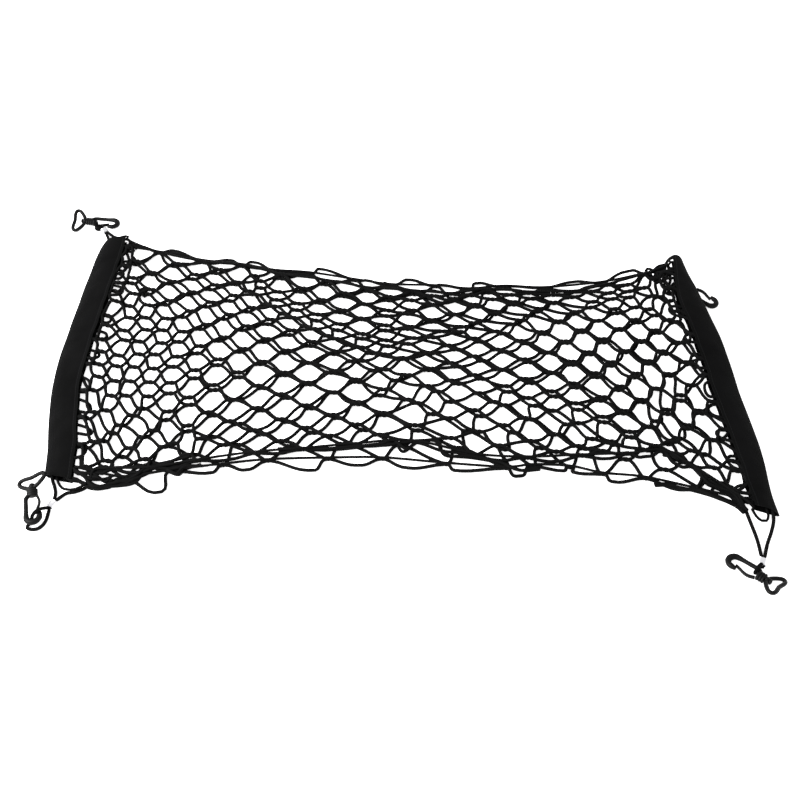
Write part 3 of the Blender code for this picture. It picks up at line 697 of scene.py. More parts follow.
def finish_mesh(work: bmesh.types.BMesh, name: str, sharp_angle: float = 40.0) -> bpy.types.Object:
    """Turns a bmesh into an object, smooth but for its sharp edges.

    Args:
        work: the mesh being worked on; it is freed.
        name: the object's name.
        sharp_angle: edges that turn by more than this, in degrees, stay sharp.

    Returns:
        The new object.
    """
    bmesh.ops.recalc_face_normals(work, faces=work.faces)
    for face in work.faces:
        face.smooth = True
    for edge in work.edges:
        edge.smooth = len(edge.link_faces) == 2 and edge.calc_face_angle(0.0) < math.radians(sharp_angle)
    mesh = bpy.data.meshes.new(name)
    work.to_mesh(mesh)
    work.free()
    return in_scene(name, mesh)


def skin(work: bmesh.types.BMesh, rings: Sequence[Sequence[bmesh.types.BMVert]], closed: bool = False) -> None:
    """Joins rings of points with faces.

    Args:
        work: the mesh being worked on.
        rings: the rings in order, each with as many points as the others; one of a single point is a tip.
        closed: whether the last ring joins the first.
    """
    ahead = [*rings[1:], rings[0]] if closed else rings[1:]
    for one, two in zip(rings, ahead):
        sides = max(len(one), len(two))
        for j in range(sides):
            after = (j + 1) % sides
            near, far = (one[j % len(one)], one[after % len(one)]), (two[after % len(two)], two[j % len(two)])
            work.faces.new(tuple(dict.fromkeys(near + far)))


def oval(
    work: bmesh.types.BMesh, middle: Vector, wide: Vector, high: Vector, sides: int
) -> list[bmesh.types.BMVert]:
    """Adds one ring of points.

    Args:
        work: the mesh being worked on.
        middle: the ring's middle.
        wide: from there to its first point.
        high: from there to the point a quarter turn on.
        sides: how many points it has.

    Returns:
        The ring's points in order.
    """
    turns = [2 * math.pi * j / sides for j in range(sides)]
    return [work.verts.new(middle + wide * math.cos(turn) + high * math.sin(turn)) for turn in turns]


def cap(work: bmesh.types.BMesh, rings: Sequence[Sequence[bmesh.types.BMVert]]) -> None:
    """Closes both ends of a run of rings."""
    work.faces.new(list(reversed(rings[0])))
    work.faces.new(rings[-1])


class TubeMesh:
    """Collects round tubes and turns them into one mesh, with a UV map that runs round and along each."""

    TIP_REACH = 0.45
    TIP_NARROWS_TO = 0.55

    def __init__(self, sides: int) -> None:
        """Starts an empty mesh whose tubes have this many sides."""
        self.sides = sides
        self.points: list[np.ndarray] = []
        self.faces: list[tuple[int, ...]] = []
        self.uvs: list[tuple[float, float]] = []
        self.count = 0

    def add(self, path: np.ndarray, radius: float | np.ndarray) -> None:
        """Adds a tube with rounded ends.

        Args:
            path: its middle line, in millimetres in the plan frame.
            radius: its radius in millimetres, for the whole tube or for each point.
        """
        path = np.asarray(path, dtype=float)
        radii = np.broadcast_to(np.asarray(radius, dtype=float), (len(path),)).copy()
        tangents = np.gradient(path, axis=0)
        tangents /= np.linalg.norm(tangents, axis=1)[:, None]
        side = np.cross((0.0, 0.0, 1.0), tangents[0])
        if np.linalg.norm(side) < 0.1:
            side = np.array((1.0, 0.0, 0.0))
        turns = np.arange(self.sides) * (2 * math.pi / self.sides)
        cosines, sines = np.cos(turns)[:, None], np.sin(turns)[:, None]
        mean = float(radii.mean())
        along = np.concatenate(((0.0,), np.cumsum(np.linalg.norm(np.diff(path, axis=0), axis=1))))
        rings = []
        for index, tangent in enumerate(tangents):
            side = side - tangent * side.dot(tangent)
            side /= np.linalg.norm(side)
            up = np.cross(tangent, side)
            rings.append(path[index] + radii[index] * (side * cosines + up * sines))
        tip = self.TIP_REACH * mean
        first = path[0] + (rings[0] - path[0]) * self.TIP_NARROWS_TO - tangents[0] * tip
        last = path[-1] + (rings[-1] - path[-1]) * self.TIP_NARROWS_TO + tangents[-1] * tip
        rings = [first, *rings, last]
        along = np.concatenate(((-tip,), along, (along[-1] + tip,))) / (2 * math.pi * mean)
        self.points.extend(rings)
        n = self.sides
        for k in range(len(rings) - 1):
            low, high = self.count + k * n, self.count + (k + 1) * n
            for j in range(n):
                after = (j + 1) % n
                self.faces.append((low + j, low + after, high + after, high + j))
                u0, u1 = j / n, (j + 1) / n
                self.uvs += [(u0, along[k]), (u1, along[k]), (u1, along[k + 1]), (u0, along[k + 1])]
        self.faces.append(tuple(self.count + j for j in reversed(range(n))))
        self.uvs += [(j / n, along[0]) for j in reversed(range(n))]
        top = self.count + (len(rings) - 1) * n
        self.faces.append(tuple(top + j for j in range(n)))
        self.uvs += [(j / n, along[-1]) for j in range(n)]
        self.count += len(rings) * n

    def build(self, name: str) -> bpy.types.Object:
        """Returns the collected tubes as one smooth object of this name."""
        mesh = bpy.data.meshes.new(name)
        mesh.from_pydata(to_part(np.vstack(self.points)).tolist(), [], self.faces)
        layer = mesh.uv_layers.new(name="along")
        layer.data.foreach_set("uv", np.asarray(self.uvs, dtype=np.float32).ravel())
        mesh.polygons.foreach_set("use_smooth", [True] * len(mesh.polygons))
        mesh.update()
        return in_scene(name, mesh)


# ------------------------------------------------------------------------------------------ node groups


class NodeKit:
    """Short forms for building node trees."""

    def __init__(self, tree: bpy.types.NodeTree) -> None:
        """Works in this tree."""
        self.tree = tree

    def node(self, kind: str, **settings: object) -> bpy.types.Node:
        """Adds a node of this kind with these settings.

        Args:
            kind: Blender's name of the node type.
            settings: properties of the node, by name.

        Returns:
            The node.
        """
        made = self.tree.nodes.new(kind)
        for key, value in settings.items():
            setattr(made, key, value)
        return made

    def link(self, start: bpy.types.NodeSocket, end: bpy.types.NodeSocket) -> None:
        """Joins two sockets."""
        self.tree.links.new(start, end)

    def feed(self, node: bpy.types.Node, socket: int | str, value: object) -> None:
        """Links a socket's output into an input, or sets the input to a plain value."""
        if isinstance(value, bpy.types.NodeSocket):
            self.link(value, node.inputs[socket])
        else:
            node.inputs[socket].default_value = value

    def group(self, tree: bpy.types.NodeTree, **values: float) -> bpy.types.Node:
        """Places a shared group with its own values, whose names have _ for a space."""
        placed = self.node("ShaderNodeGroup", node_tree=tree)
        for label, value in values.items():
            placed.inputs[label.replace("_", " ")].default_value = value
        return placed

    def along(self) -> tuple[bpy.types.NodeSocket, bpy.types.NodeSocket, bpy.types.NodeSocket]:
        """Returns the UV map that runs along the piece, whole and as its two shares."""
        uv = self.node("ShaderNodeUVMap", uv_map="along")
        parts = self.node("ShaderNodeSeparateXYZ")
        self.link(uv.outputs[0], parts.inputs[0])
        return uv.outputs[0], parts.outputs[0], parts.outputs[1]

    def math(self, operation: str, first: object, second: object = 0.0) -> bpy.types.NodeSocket:
        """Returns the result of a Math node on two values or sockets."""
        node = self.node("ShaderNodeMath", operation=operation)
        self.feed(node, 0, first)
        self.feed(node, 1, second)
        return node.outputs[0]

    def mix(self, factor: object, low: object, high: object) -> bpy.types.NodeSocket:
        """Returns the colour between low and high."""
        node = self.node("ShaderNodeMix", data_type="RGBA")
        self.feed(node, 0, factor)
        self.feed(node, 6, low)
        self.feed(node, 7, high)
        return node.outputs[2]

    def spread(self, value: object, low: float, high: float, to_low: float, to_high: float) -> bpy.types.NodeSocket:
        """Returns a value mapped from one range to another, kept inside it."""
        node = self.node("ShaderNodeMapRange")
        self.feed(node, 0, value)
        for index, number in enumerate((low, high, to_low, to_high)):
            node.inputs[1 + index].default_value = number
        return node.outputs[0]


def new_group(name: str, inputs: dict[str, float], outputs: Iterable[str]) -> tuple[bpy.types.NodeTree, NodeKit]:
    """Makes an empty shader node group.

    Args:
        name: the group's name.
        inputs: its number inputs, with their usual values.
        outputs: the names of its outputs; one that starts with Colour is a colour, the others are numbers.

    Returns:
        The group and a kit that works in it.
    """
    tree = bpy.data.node_groups.new(name, "ShaderNodeTree")
    for label, value in inputs.items():
        socket = tree.interface.new_socket(label, in_out="INPUT", socket_type="NodeSocketFloat")
        socket.default_value = value
    for label in outputs:
        kind = "NodeSocketColor" if label.startswith("Colour") else "NodeSocketFloat"
        tree.interface.new_socket(label, in_out="OUTPUT", socket_type=kind)
    return tree, NodeKit(tree)


class Groups:
    """The shader node groups that more than one finish uses, each built once."""

    def __init__(self) -> None:
        """Builds every group."""
        self.braid = self.build_braid()
        self.weave = self.build_weave()
        self.wear = self.build_wear()

    @staticmethod
    def build_braid() -> bpy.types.NodeTree:
        """Builds the braided cover of an elastic cord, laid out on the UV map that runs along the cord.

        Returns:
            A group with inputs Strands and Pitch and outputs Height and Gap.
        """
        tree, kit = new_group("Braided cover", {"Strands": 4.0, "Pitch": 1.6}, ("Height", "Gap"))
        given = kit.node("NodeGroupInput")
        result = kit.node("NodeGroupOutput")
        _, u, v = kit.along()
        around = kit.math("MULTIPLY", u, given.outputs["Strands"])
        along = kit.math("MULTIPLY", v, given.outputs["Pitch"])
        waves = []
        for operation in ("ADD", "SUBTRACT"):
            phase = kit.math("MULTIPLY", kit.math(operation, around, along), 2 * math.pi)
            waves.append(kit.math("ABSOLUTE", kit.math("SINE", phase)))
        height = kit.math("MAXIMUM", waves[0], waves[1])
        kit.link(height, result.inputs["Height"])
        kit.link(kit.spread(height, 0.2, 0.75, 1.0, 0.0), result.inputs["Gap"])
        return tree

    @staticmethod
    def build_weave() -> bpy.types.NodeTree:
        """Builds a plain cloth weave, laid out on the UV map in metres.

        Returns:
            A group with input Threads, the threads a metre, and outputs Height and Thread.
        """
        tree, kit = new_group("Plain weave", {"Threads": 1400.0}, ("Height", "Thread"))
        given = kit.node("NodeGroupInput")
        result = kit.node("NodeGroupOutput")
        whole, u, v = kit.along()
        scale = kit.math("MULTIPLY", given.outputs["Threads"], math.pi)
        warp = kit.math("SINE", kit.math("MULTIPLY", u, scale))
        weft = kit.math("SINE", kit.math("MULTIPLY", v, scale))
        cross = kit.math("MULTIPLY", warp, weft)
        slub = kit.node("ShaderNodeTexNoise")
        kit.link(whole, slub.inputs["Vector"])
        slub.inputs["Scale"].default_value = 420.0
        height = kit.math("ADD", kit.math("MULTIPLY", cross, 0.4), slub.outputs["Fac"])
        kit.link(height, result.inputs["Height"])
        kit.link(kit.spread(cross, -1.0, 1.0, 0.0, 1.0), result.inputs["Thread"])
        return tree

    @staticmethod
    def build_wear() -> bpy.types.NodeTree:
        """Builds lint, handling marks and paler raised edges, in the object's own space.

        Returns:
            A group with input Patch size and outputs Marks and Edges.
        """
        tree, kit = new_group("Handling wear", {"Patch size": 60.0}, ("Marks", "Edges"))
        given = kit.node("NodeGroupInput")
        result = kit.node("NodeGroupOutput")
        place = kit.node("ShaderNodeTexCoord")
        coarse = kit.node("ShaderNodeTexNoise")
        kit.link(place.outputs["Object"], coarse.inputs["Vector"])
        kit.link(given.outputs["Patch size"], coarse.inputs["Scale"])
        coarse.inputs["Detail"].default_value = 4.0
        kit.link(kit.spread(coarse.outputs["Fac"], 0.35, 0.7, 0.0, 1.0), result.inputs["Marks"])
        shape = kit.node("ShaderNodeNewGeometry")
        kit.link(kit.spread(shape.outputs["Pointiness"], 0.50, 0.58, 0.0, 1.0), result.inputs["Edges"])
        return tree


def grey(value: float) -> tuple[float, float, float, float]:
    """Returns a neutral colour of this linear value."""
    return (value, value, value * 1.03, 1.0)


@dataclass(frozen=True)
class CordFinish:
    """Matt black braided cover over an elastic core."""

    name: str = "braided_elastic"
    dark: float = 0.0012
    light: float = 0.0040
    roughness: float = 0.85
    specular: float = 0.06
    strands: float = 4.0
    pitch: float = 1.3
    patch: float = 35.0
    relief: float = 0.00012

    def build(self, groups: Groups) -> bpy.types.Material:
        """Makes the material from the shared groups and returns it."""
        material, kit, shader = new_material(self.name, self.roughness, self.specular)
        braid = kit.group(groups.braid, Strands=self.strands, Pitch=self.pitch)
        wear = kit.group(groups.wear, Patch_size=self.patch)
        base = kit.mix(wear.outputs["Marks"], grey(self.dark * 1.6), grey(self.light))
        kit.link(kit.mix(braid.outputs["Gap"], base, grey(self.dark)), shader.inputs["Base Color"])
        add_bump(kit, shader, braid.outputs["Height"], self.relief, 0.5)
        return material


@dataclass(frozen=True)
class ClothFinish:
    """Plain woven black cloth."""

    name: str = "woven_cloth"
    dark: float = 0.0015
    light: float = 0.0040
    thread: float = 0.007
    roughness: float = 0.92
    specular: float = 0.04
    threads: float = 1400.0
    stitch_inset: float = 0.004
    stitch_pitch: float = 0.0042
    stitch_edge: tuple[float, float] = (0.0003, 0.0005)
    stitch_share: tuple[float, float] = (0.74, 0.80)
    stitch_relief: float = 2.5
    patch: float = 18.0
    relief: float = 0.0002
    sheen: float = 0.015

    def build(self, groups: Groups) -> bpy.types.Material:
        """Makes the material from the shared groups and returns it."""
        material, kit, shader = new_material(self.name, self.roughness, self.specular)
        weave = kit.group(groups.weave, Threads=self.threads)
        wear = kit.group(groups.wear, Patch_size=self.patch)
        base = kit.mix(wear.outputs["Marks"], grey(self.dark), grey(self.light))
        woven = kit.mix(weave.outputs["Thread"], base, grey(self.dark * 0.6))
        stitches = self.stitches(kit)
        kit.link(kit.mix(stitches, woven, grey(self.thread)), shader.inputs["Base Color"])
        shader.inputs["Sheen Weight"].default_value = self.sheen
        shader.inputs["Sheen Roughness"].default_value = 0.5
        height = kit.math("ADD", weave.outputs["Height"], kit.math("MULTIPLY", stitches, self.stitch_relief))
        add_bump(kit, shader, height, self.relief, 0.45)
        return material

    def stitches(self, kit: NodeKit) -> bpy.types.NodeSocket:
        """Returns the mask of the seam's stitches, a row that runs beside the mouth of the band."""
        _, u, v = kit.along()
        off = kit.math("ABSOLUTE", kit.math("SUBTRACT", u, self.stitch_inset))
        beat = kit.math("FRACT", kit.math("MULTIPLY", v, 1 / self.stitch_pitch))
        row = kit.spread(off, *self.stitch_edge, 1.0, 0.0)
        return kit.math("MULTIPLY", row, kit.spread(beat, *self.stitch_share, 1.0, 0.0))


@dataclass(frozen=True)
class PlasticFinish:
    """Black moulded plastic with a fine grain, paler at its edges."""

    name: str = "moulded_plastic"
    dark: float = 0.0015
    light: float = 0.0045
    roughness: float = 0.48
    specular: float = 0.1
    roughness_span: tuple[float, float] = (-0.06, 0.1)
    patch: float = 140.0
    grain: float = 2600.0
    relief: float = 0.00004

    def build(self, groups: Groups) -> bpy.types.Material:
        """Makes the material from the shared groups and returns it."""
        material, kit, shader = new_material(self.name, self.roughness, self.specular)
        wear = kit.group(groups.wear, Patch_size=self.patch)
        base = kit.mix(wear.outputs["Edges"], grey(self.dark), grey(self.light))
        kit.link(base, shader.inputs["Base Color"])
        smooth, rough = (self.roughness + change for change in self.roughness_span)
        kit.link(kit.spread(wear.outputs["Marks"], 0.0, 1.0, smooth, rough), shader.inputs["Roughness"])
        grain = kit.node("ShaderNodeTexNoise")
        grain.inputs["Scale"].default_value = self.grain
        place = kit.node("ShaderNodeTexCoord")
        kit.link(place.outputs["Object"], grain.inputs["Vector"])
        add_bump(kit, shader, grain.outputs["Fac"], self.relief, 0.3)
        return material


@dataclass(frozen=True)
class MetalFinish:
    """Bright pressed aluminium, with painted shade at the rim where it turns away from the view."""

    name: str = "pressed_metal"
    colour: float = 0.93
    # painted shade: the dark grey that the colour turns to towards the rim, where the surface turns away from the
    # view, and the facing range over which it comes in
    painted_rim_shade: float = 0.16
    painted_rim_shade_range: tuple[float, float] = (0.62, 0.92)
    roughness: float = 0.28
    roughness_span: tuple[float, float] = (-0.05, 0.12)
    specular: float = 0.5
    patch: float = 220.0

    def build(self, groups: Groups) -> bpy.types.Material:
        """Makes the material from the shared groups and returns it."""
        material, kit, shader = new_material(self.name, self.roughness, self.specular)
        shader.inputs["Metallic"].default_value = 1.0
        wear = kit.group(groups.wear, Patch_size=self.patch)
        base = kit.mix(wear.outputs["Marks"], grey(self.colour), grey(self.colour * 0.9))
        # painted shade: the facing towards the view darkens the colour at the rim of the sleeve
        painted_rim_shade = kit.node("ShaderNodeLayerWeight")
        painted_rim_shade.inputs["Blend"].default_value = 0.5
        edge = kit.spread(painted_rim_shade.outputs["Facing"], *self.painted_rim_shade_range, 0.0, 1.0)
        kit.link(kit.mix(edge, base, grey(self.painted_rim_shade)), shader.inputs["Base Color"])
        smooth, rough = (self.roughness + change for change in self.roughness_span)
        kit.link(kit.spread(wear.outputs["Marks"], 0.0, 1.0, smooth, rough), shader.inputs["Roughness"])
        return material


def new_material(
    name: str, roughness: float, specular: float
) -> tuple[bpy.types.Material, NodeKit, bpy.types.Node]:
    """Starts a node material.

    Args:
        name: the material's name.
        roughness: its plain roughness.
        specular: its specular level.

    Returns:
        The material, a kit that works in its tree, and its Principled shader.
    """
    material = bpy.data.materials.new(name)
    material.use_nodes = True
    shader = material.node_tree.nodes["Principled BSDF"]
    shader.inputs["Roughness"].default_value = roughness
    shader.inputs["Specular IOR Level"].default_value = specular
    return material, NodeKit(material.node_tree), shader


def add_bump(
    kit: NodeKit, shader: bpy.types.Node, height: bpy.types.NodeSocket, distance: float, strength: float
) -> None:
    """Feeds a height into the shader's normal.

    Args:
        shader: its Principled shader.
        height: the height's socket.
        distance: the relief's real depth in metres.
        strength: the share of it that shows.
    """
    bump = kit.node("ShaderNodeBump")
    bump.inputs["Strength"].default_value = strength
    bump.inputs["Distance"].default_value = distance
    kit.link(height, bump.inputs["Height"])
    kit.link(bump.outputs["Normal"], shader.inputs["Normal"])


class Finishes:
    """One material for each slot."""

    def __init__(self) -> None:
        """Builds the groups and the materials."""
        groups = Groups()
        self.materials = {
            Slot.ELASTIC: CordFinish().build(groups),
            Slot.CLOTH: ClothFinish().build(groups),
            Slot.PLASTIC: PlasticFinish().build(groups),
            Slot.METAL: MetalFinish().build(groups),
        }

    def dress(self, thing: bpy.types.Object, slot: Slot) -> None:
        """Gives an object the slot's material."""
        thing.data.materials.clear()
        thing.data.materials.append(self.materials[slot])


# ------------------------------------------------------------------------------------------ shape of the net


def band_lift(y: float) -> float:
    """Returns how high the underside of the right band lies at y, where it passes over the hook."""
    return HOOK_LIFT * ramp(y, *LIFT_CLIMB) * (1 - LIFT_FALL_SHARE * ramp(y, *LIFT_FALL))


def mouth_x(rows: Sequence[BandRow], outward: int, y: float) -> float:
    """Returns where the mouth of a band lies at y, for a band whose fold is outward, -1 or 1."""
    ys = [row.y for row in rows]
    return float(np.interp(y, ys, [row.x - outward * row.width / 2 for row in rows]))


def mesh_lift(x: float, y: float) -> float:
    """Returns how far the mesh climbs above its own level to enter the bands."""
    left = ramp(mouth_x(BAND_LEFT, -1, y) + MOUTH_RUN - x, 0, MOUTH_RUN - MOUTH_LEVEL)
    right = ramp(x - mouth_x(BAND_RIGHT, 1, y) + MOUTH_RUN, 0, MOUTH_RUN - MOUTH_LEVEL)
    return MOUTH_RISE * (left + right) + band_lift(y) * ramp(x, *LIFT_ALONG)


def kept_in_fold(point: np.ndarray, radius: float) -> np.ndarray:
    """Keeps a cord's point between the two faces of a band, where it lies inside its fold.

    Args:
        point: the point in the plan frame, in millimetres.
        radius: the cord's radius.

    Returns:
        The point where the cord fits.
    """
    x, y, z = point
    for rows, outward in ((BAND_LEFT, -1), (BAND_RIGHT, 1)):
        mouth = mouth_x(rows, outward, y)
        depth = outward * (x - mouth)
        if depth < -FOLD_APPROACH or not rows[0].y < y < rows[-1].y:
            continue
        width = float(np.interp(y, [row.y for row in rows], [row.width for row in rows]))
        depth = min(depth, FOLD_DEPTH * width)
        base = band_lift(y) if outward > 0 else 0.0
        roof = base + float(np.interp(depth / width, *FOLD_ROOF)) - radius
        ground = min(base + FOLD_GROUND + radius, roof)
        held = min(max(z, ground), roof)
        x, z = mouth + outward * depth, z + (held - z) * ramp(depth, -FOLD_APPROACH, -FOLD_LEVEL)
    return np.array((x, y, z))


def settled(path: np.ndarray, radius: float) -> np.ndarray:
    """Returns a path of the flat mesh where it really lies: lifted towards the bands and kept in their folds."""
    return np.array([kept_in_fold(np.array((x, y, z + mesh_lift(x, y))), radius) for x, y, z in path])


@dataclass(frozen=True)
class Stop:
    """Where a cord passes a joint: its points there, and the plan direction in which it goes on."""

    points: np.ndarray
    ahead: np.ndarray


@dataclass
class NetLayer:
    """One layer of mesh: cords that zigzag along the length and are twisted in pairs at the joints."""

    layer: Layer
    strand: float = 4.6
    columns: int = 30
    rows: int = 18
    joint_length: float = 13.5
    short_joint_length: float = 8.0
    twist: float = 0.26
    twist_height: float = 0.20
    strand_z: float = 2.45
    joint_z: float = 3.1
    hem_z: float = 5.6
    looseness: float = 0.0
    straightness: float = 0.8
    loop_straightness: float = 0.3
    tip_length: float = 9.0
    seed: int = 11
    joint_steps: int = 7
    strand_steps: int = 4
    waver: float = 1.1
    end_reach: float = 0.85
    extra_share: float = 0.92

    def __post_init__(self) -> None:
        """Draws the slack of every free stretch once."""
        draw = np.random.RandomState(self.seed)
        self.sag = draw.normal(0.0, 1.0, (self.columns + 1, self.rows + 3))
        self.pull = draw.uniform(0.0, 1.0, (self.columns + 1, self.rows + 3))

    def plan_point(self, u: float, v: float) -> np.ndarray:
        """Returns the plan place at share u of the length and v of the width."""
        rows = [(row.near_x, row.near_y, row.far_x, row.far_y) for row in EDGES]
        edges = np.array([smooth_at(range(len(rows)), column, u * (len(rows) - 1)) for column in zip(*rows)])
        flat = edges[:2] + (edges[2:] - edges[:2]) * v
        flat[0] += 4 * v * (1 - v) * (LEFT_BOW * (1 - u) ** 2 + RIGHT_BOW * u * u)
        return flat

    def joint(self, a: int, b: int) -> np.ndarray:
        """Returns the plan place of the joint at half column a and half row b."""
        return np.array(JOINTS[self.layer][a][b // 2], dtype=float)

    def bar(self, a: int, b: int) -> tuple[np.ndarray, np.ndarray]:
        """Returns both ends of the joint's twisted stretch, in plan."""
        middle = self.joint(a, b)
        u, v = a / self.columns, b / self.rows
        along = self.plan_point(min(u + 0.01, 1.0), v) - self.plan_point(max(u - 0.01, 0.0), v)
        along /= np.linalg.norm(along)
        short = a in (0, self.columns) or b in (0, self.rows)
        reach = along * (self.short_joint_length if short else self.joint_length) / 2
        return middle - reach, middle + reach

    def stop(self, a: int, k: int) -> Stop:
        """Returns how cord k passes half column a: twisted into a joint, or hanging out past the hem."""
        low = (a + k) % 2 != 0
        b = k if low else k + 1
        if not 0 <= b <= self.rows:
            return self.scallop(a, b)
        start, end = self.bar(a, b)
        ahead = (end - start) / np.linalg.norm(end - start)
        across = np.array((-ahead[1], ahead[0]))
        side = self.strand if low else -self.strand
        t = np.linspace(0.0, 1.0, self.joint_steps + 1)
        plan = start + np.outer(t, end - start)
        plan += np.outer(side * self.twist * np.cos(2 * math.pi * t), across)
        heights = self.joint_z + side * self.twist_height * np.sin(2 * math.pi * t)
        return Stop(np.column_stack((plan, heights)), ahead)

    def scallop(self, a: int, b: int) -> Stop:
        """Returns the slack loop that hangs out past the hem at half column a."""
        near = b < 0
        level = 0 if near else self.rows
        if a in (0, self.columns):
            u, inner = a / self.columns, 1 if near else self.rows - 1
            step = self.plan_point(u, level / self.rows) - self.plan_point(u, inner / self.rows)
            end = self.joint(a, inner) + self.end_reach * step
            return Stop(np.array(((*end, self.joint_z),)), np.array((1.0, 0.0)))
        middle = np.array(LOOP_TIPS[(self.layer, "near" if near else "far")][a // 2 - 1], dtype=float)
        left, right = self.joint(a - 1, level), self.joint(a + 1, level)
        ahead = (right - left) / np.linalg.norm(right - left)
        reach = ahead * self.tip_length / 2
        ends = [(*(middle - reach), self.strand_z), (*(middle + reach), self.strand_z)]
        return Stop(np.array(ends), ahead)

    def strand_between(self, one: Stop, two: Stop, a: int, k: int) -> np.ndarray:
        """The free stretch of a cord from one joint to the next.

        Args:
            one: the joint that it leaves.
            two: the joint that it reaches.
            a: the half column of the first joint.
            k: the cord's number.

        Returns:
            Its points between the joints.
        """
        start, end = one.points[-1], two.points[0]
        chord = end[:2] - start[:2]
        length = float(np.linalg.norm(chord))
        pulls = []
        in_mesh = min(len(one.points), len(two.points)) > 2
        straight = self.straightness if in_mesh else self.loop_straightness
        for ahead in (one.ahead, two.ahead):
            pull = ahead * (1 - straight) + chord / length * straight
            pulls.append(pull / np.linalg.norm(pull) * length)
        row = (k + 1) % (self.rows + 3)
        slack = self.waver * self.sag[a, row]
        level = self.strand_z + self.looseness * self.pull[a, row]
        across = np.array((-chord[1], chord[0])) / length
        found = []
        for step in range(1, self.strand_steps + 1):
            t = step / (self.strand_steps + 1)
            t2, t3 = t * t, t * t * t
            plan = (2 * t3 - 3 * t2 + 1) * start[:2] + (3 * t2 - 2 * t3) * end[:2]
            plan = plan + (t3 - 2 * t2 + t) * pulls[0] + (t3 - t2) * pulls[1]
            plan = plan + across * slack * math.sin(math.pi * t)
            z = level + (start[2] - level) * ramp(0.5 - t, 0, 0.5) + (end[2] - level) * ramp(t, 0.5, 1.0)
            found.append((*plan, z))
        return np.array(found)

    def cord_path(self, k: int) -> np.ndarray:
        """The middle line of the cord that zigzags between half rows k and k + 1.

        Args:
            k: the cord's number from the near edge; -1 and the number of rows are the outermost cords.

        Returns:
            Its points in the plan frame, in millimetres.
        """
        stops = [self.stop(a, k) for a in range(self.columns + 1)]
        found = [stops[0].points]
        for a, (one, two) in enumerate(zip(stops, stops[1:])):
            found += [self.strand_between(one, two, a, k), two.points]
        return settled(np.vstack(found), self.strand / 2)

    def hem_path(self, far: bool) -> np.ndarray:
        """The middle line of the hem cord along one edge, where it lies on the mesh.

        Args:
            far: whether it is the far edge.

        Returns:
            Its control points in the plan frame, in millimetres.
        """
        level = self.rows if far else 0
        points = []
        for a in range(3, self.columns - 2, 2):
            x, y = self.joint(a, level)
            points.append((x, y, self.hem_z + mesh_lift(x, y)))
        return np.array(points)

    def build(self, extras: Iterable[np.ndarray] = ()) -> bpy.types.Object:
        """Returns every cord of the layer, and the paths of further slack loops, as one object."""
        tubes = TubeMesh(8)
        for k in range(-1, self.rows + 1):
            tubes.add(self.cord_path(k), self.strand / 2)
        for path in extras:
            tubes.add(path, self.strand / 2 * self.extra_share)
        return tubes.build(f"mesh_{self.layer.value}")


@dataclass
class SlackLoops:
    """Slack mesh: loops along the mouths of the bands, cords gathered on the hems, and bunches at the corners."""

    seed: int = 31
    radius: float = 1.75
    spacing: float = 2.5
    least_reach: float = 9.0
    more_reach: float = 11.0
    width: tuple[float, float] = (15.0, 26.0)
    lean: tuple[float, float] = (-4.0, 4.0)
    levels: tuple[float, float] = (2.4, 6.5)
    rest: tuple[float, float] = (12.0, 38.0)
    end_gap: tuple[float, float] = (22.0, 48.0)
    hidden: float = 12.0
    stray: float = 0.5
    bunch_stray: float = 0.28
    bunch_points: int = 8
    bunch_sweep: float = 5.6
    bunch_swell: tuple[float, float] = (0.6, 1.15)
    lowest: float = 2.2
    bunch_lowest: float = 2.0

    def __post_init__(self) -> None:
        """Starts the draw of the loops' shapes."""
        self.draw = np.random.RandomState(self.seed)

    def along_mouth(self, rows: Sequence[BandRow], outward: int) -> list[np.ndarray]:
        """The loops that stand out of a band's mouth.

        Args:
            rows: the band's table.
            outward: the side of its fold, -1 or 1.

        Returns:
            The path of each loop in the plan frame.
        """
        found = []
        y = rows[0].y + self.end_gap[0]
        while y < rows[-1].y - self.end_gap[1]:
            reach = self.least_reach + self.more_reach * self.draw.uniform()
            wide = self.draw.uniform(*self.width)
            lean = self.draw.uniform(*self.lean)
            low, high = self.draw.uniform(*self.levels, 2)
            shape = (
                (self.hidden, -0.1, low),
                (-1.0, 0.0, low),
                (-0.72 * reach, 0.10, low),
                (-reach, 0.45, (low + high) / 2),
                (-0.78 * reach, 0.86, high),
                (-1.0, 1.0, high),
                (self.hidden, 1.1, high),
            )
            path = []
            for depth, share, z in shape:
                ahead = share * wide - lean * depth / reach
                path.append((mouth_x(rows, outward, y + ahead) + outward * depth, y + ahead, z))
            found.append(settled(spaced_path(path, self.spacing), self.radius))
            y += wide + self.draw.uniform(*self.rest)
        return found

    def gathered(self) -> list[np.ndarray]:
        """Returns the paths of the cords that run gathered on the hems."""
        found = []
        for row in GATHERS:
            for _ in range(row.count):
                points = []
                for x, y in row.line:
                    aside = self.draw.normal(0.0, self.stray, 2) * row.spread
                    points.append((x + aside[0], y + aside[1], self.draw.uniform(self.lowest, row.high)))
                found.append(settled(spaced_path(points, self.spacing, 16), self.radius))
        return found

    def bunched(self) -> list[np.ndarray]:
        """Returns the paths of the loops that crowd together at the corners."""
        found = []
        for row in BUNCHES:
            for _ in range(row.count):
                turn = self.draw.uniform(0, 2 * math.pi)
                middle = self.draw.normal(0.0, self.bunch_stray, 2) * (row.wide, row.deep)
                points = []
                for step in range(self.bunch_points):
                    here = turn + step * self.bunch_sweep / (self.bunch_points - 1)
                    swell = self.draw.uniform(*self.bunch_swell)
                    x = row.x + middle[0] + row.wide / 2 * swell * math.cos(here)
                    y = row.y + middle[1] + row.deep / 2 * swell * math.sin(here)
                    points.append((x, y, self.draw.uniform(self.bunch_lowest, row.high)))
                found.append(settled(spaced_path(points, self.spacing), self.radius))
        return found


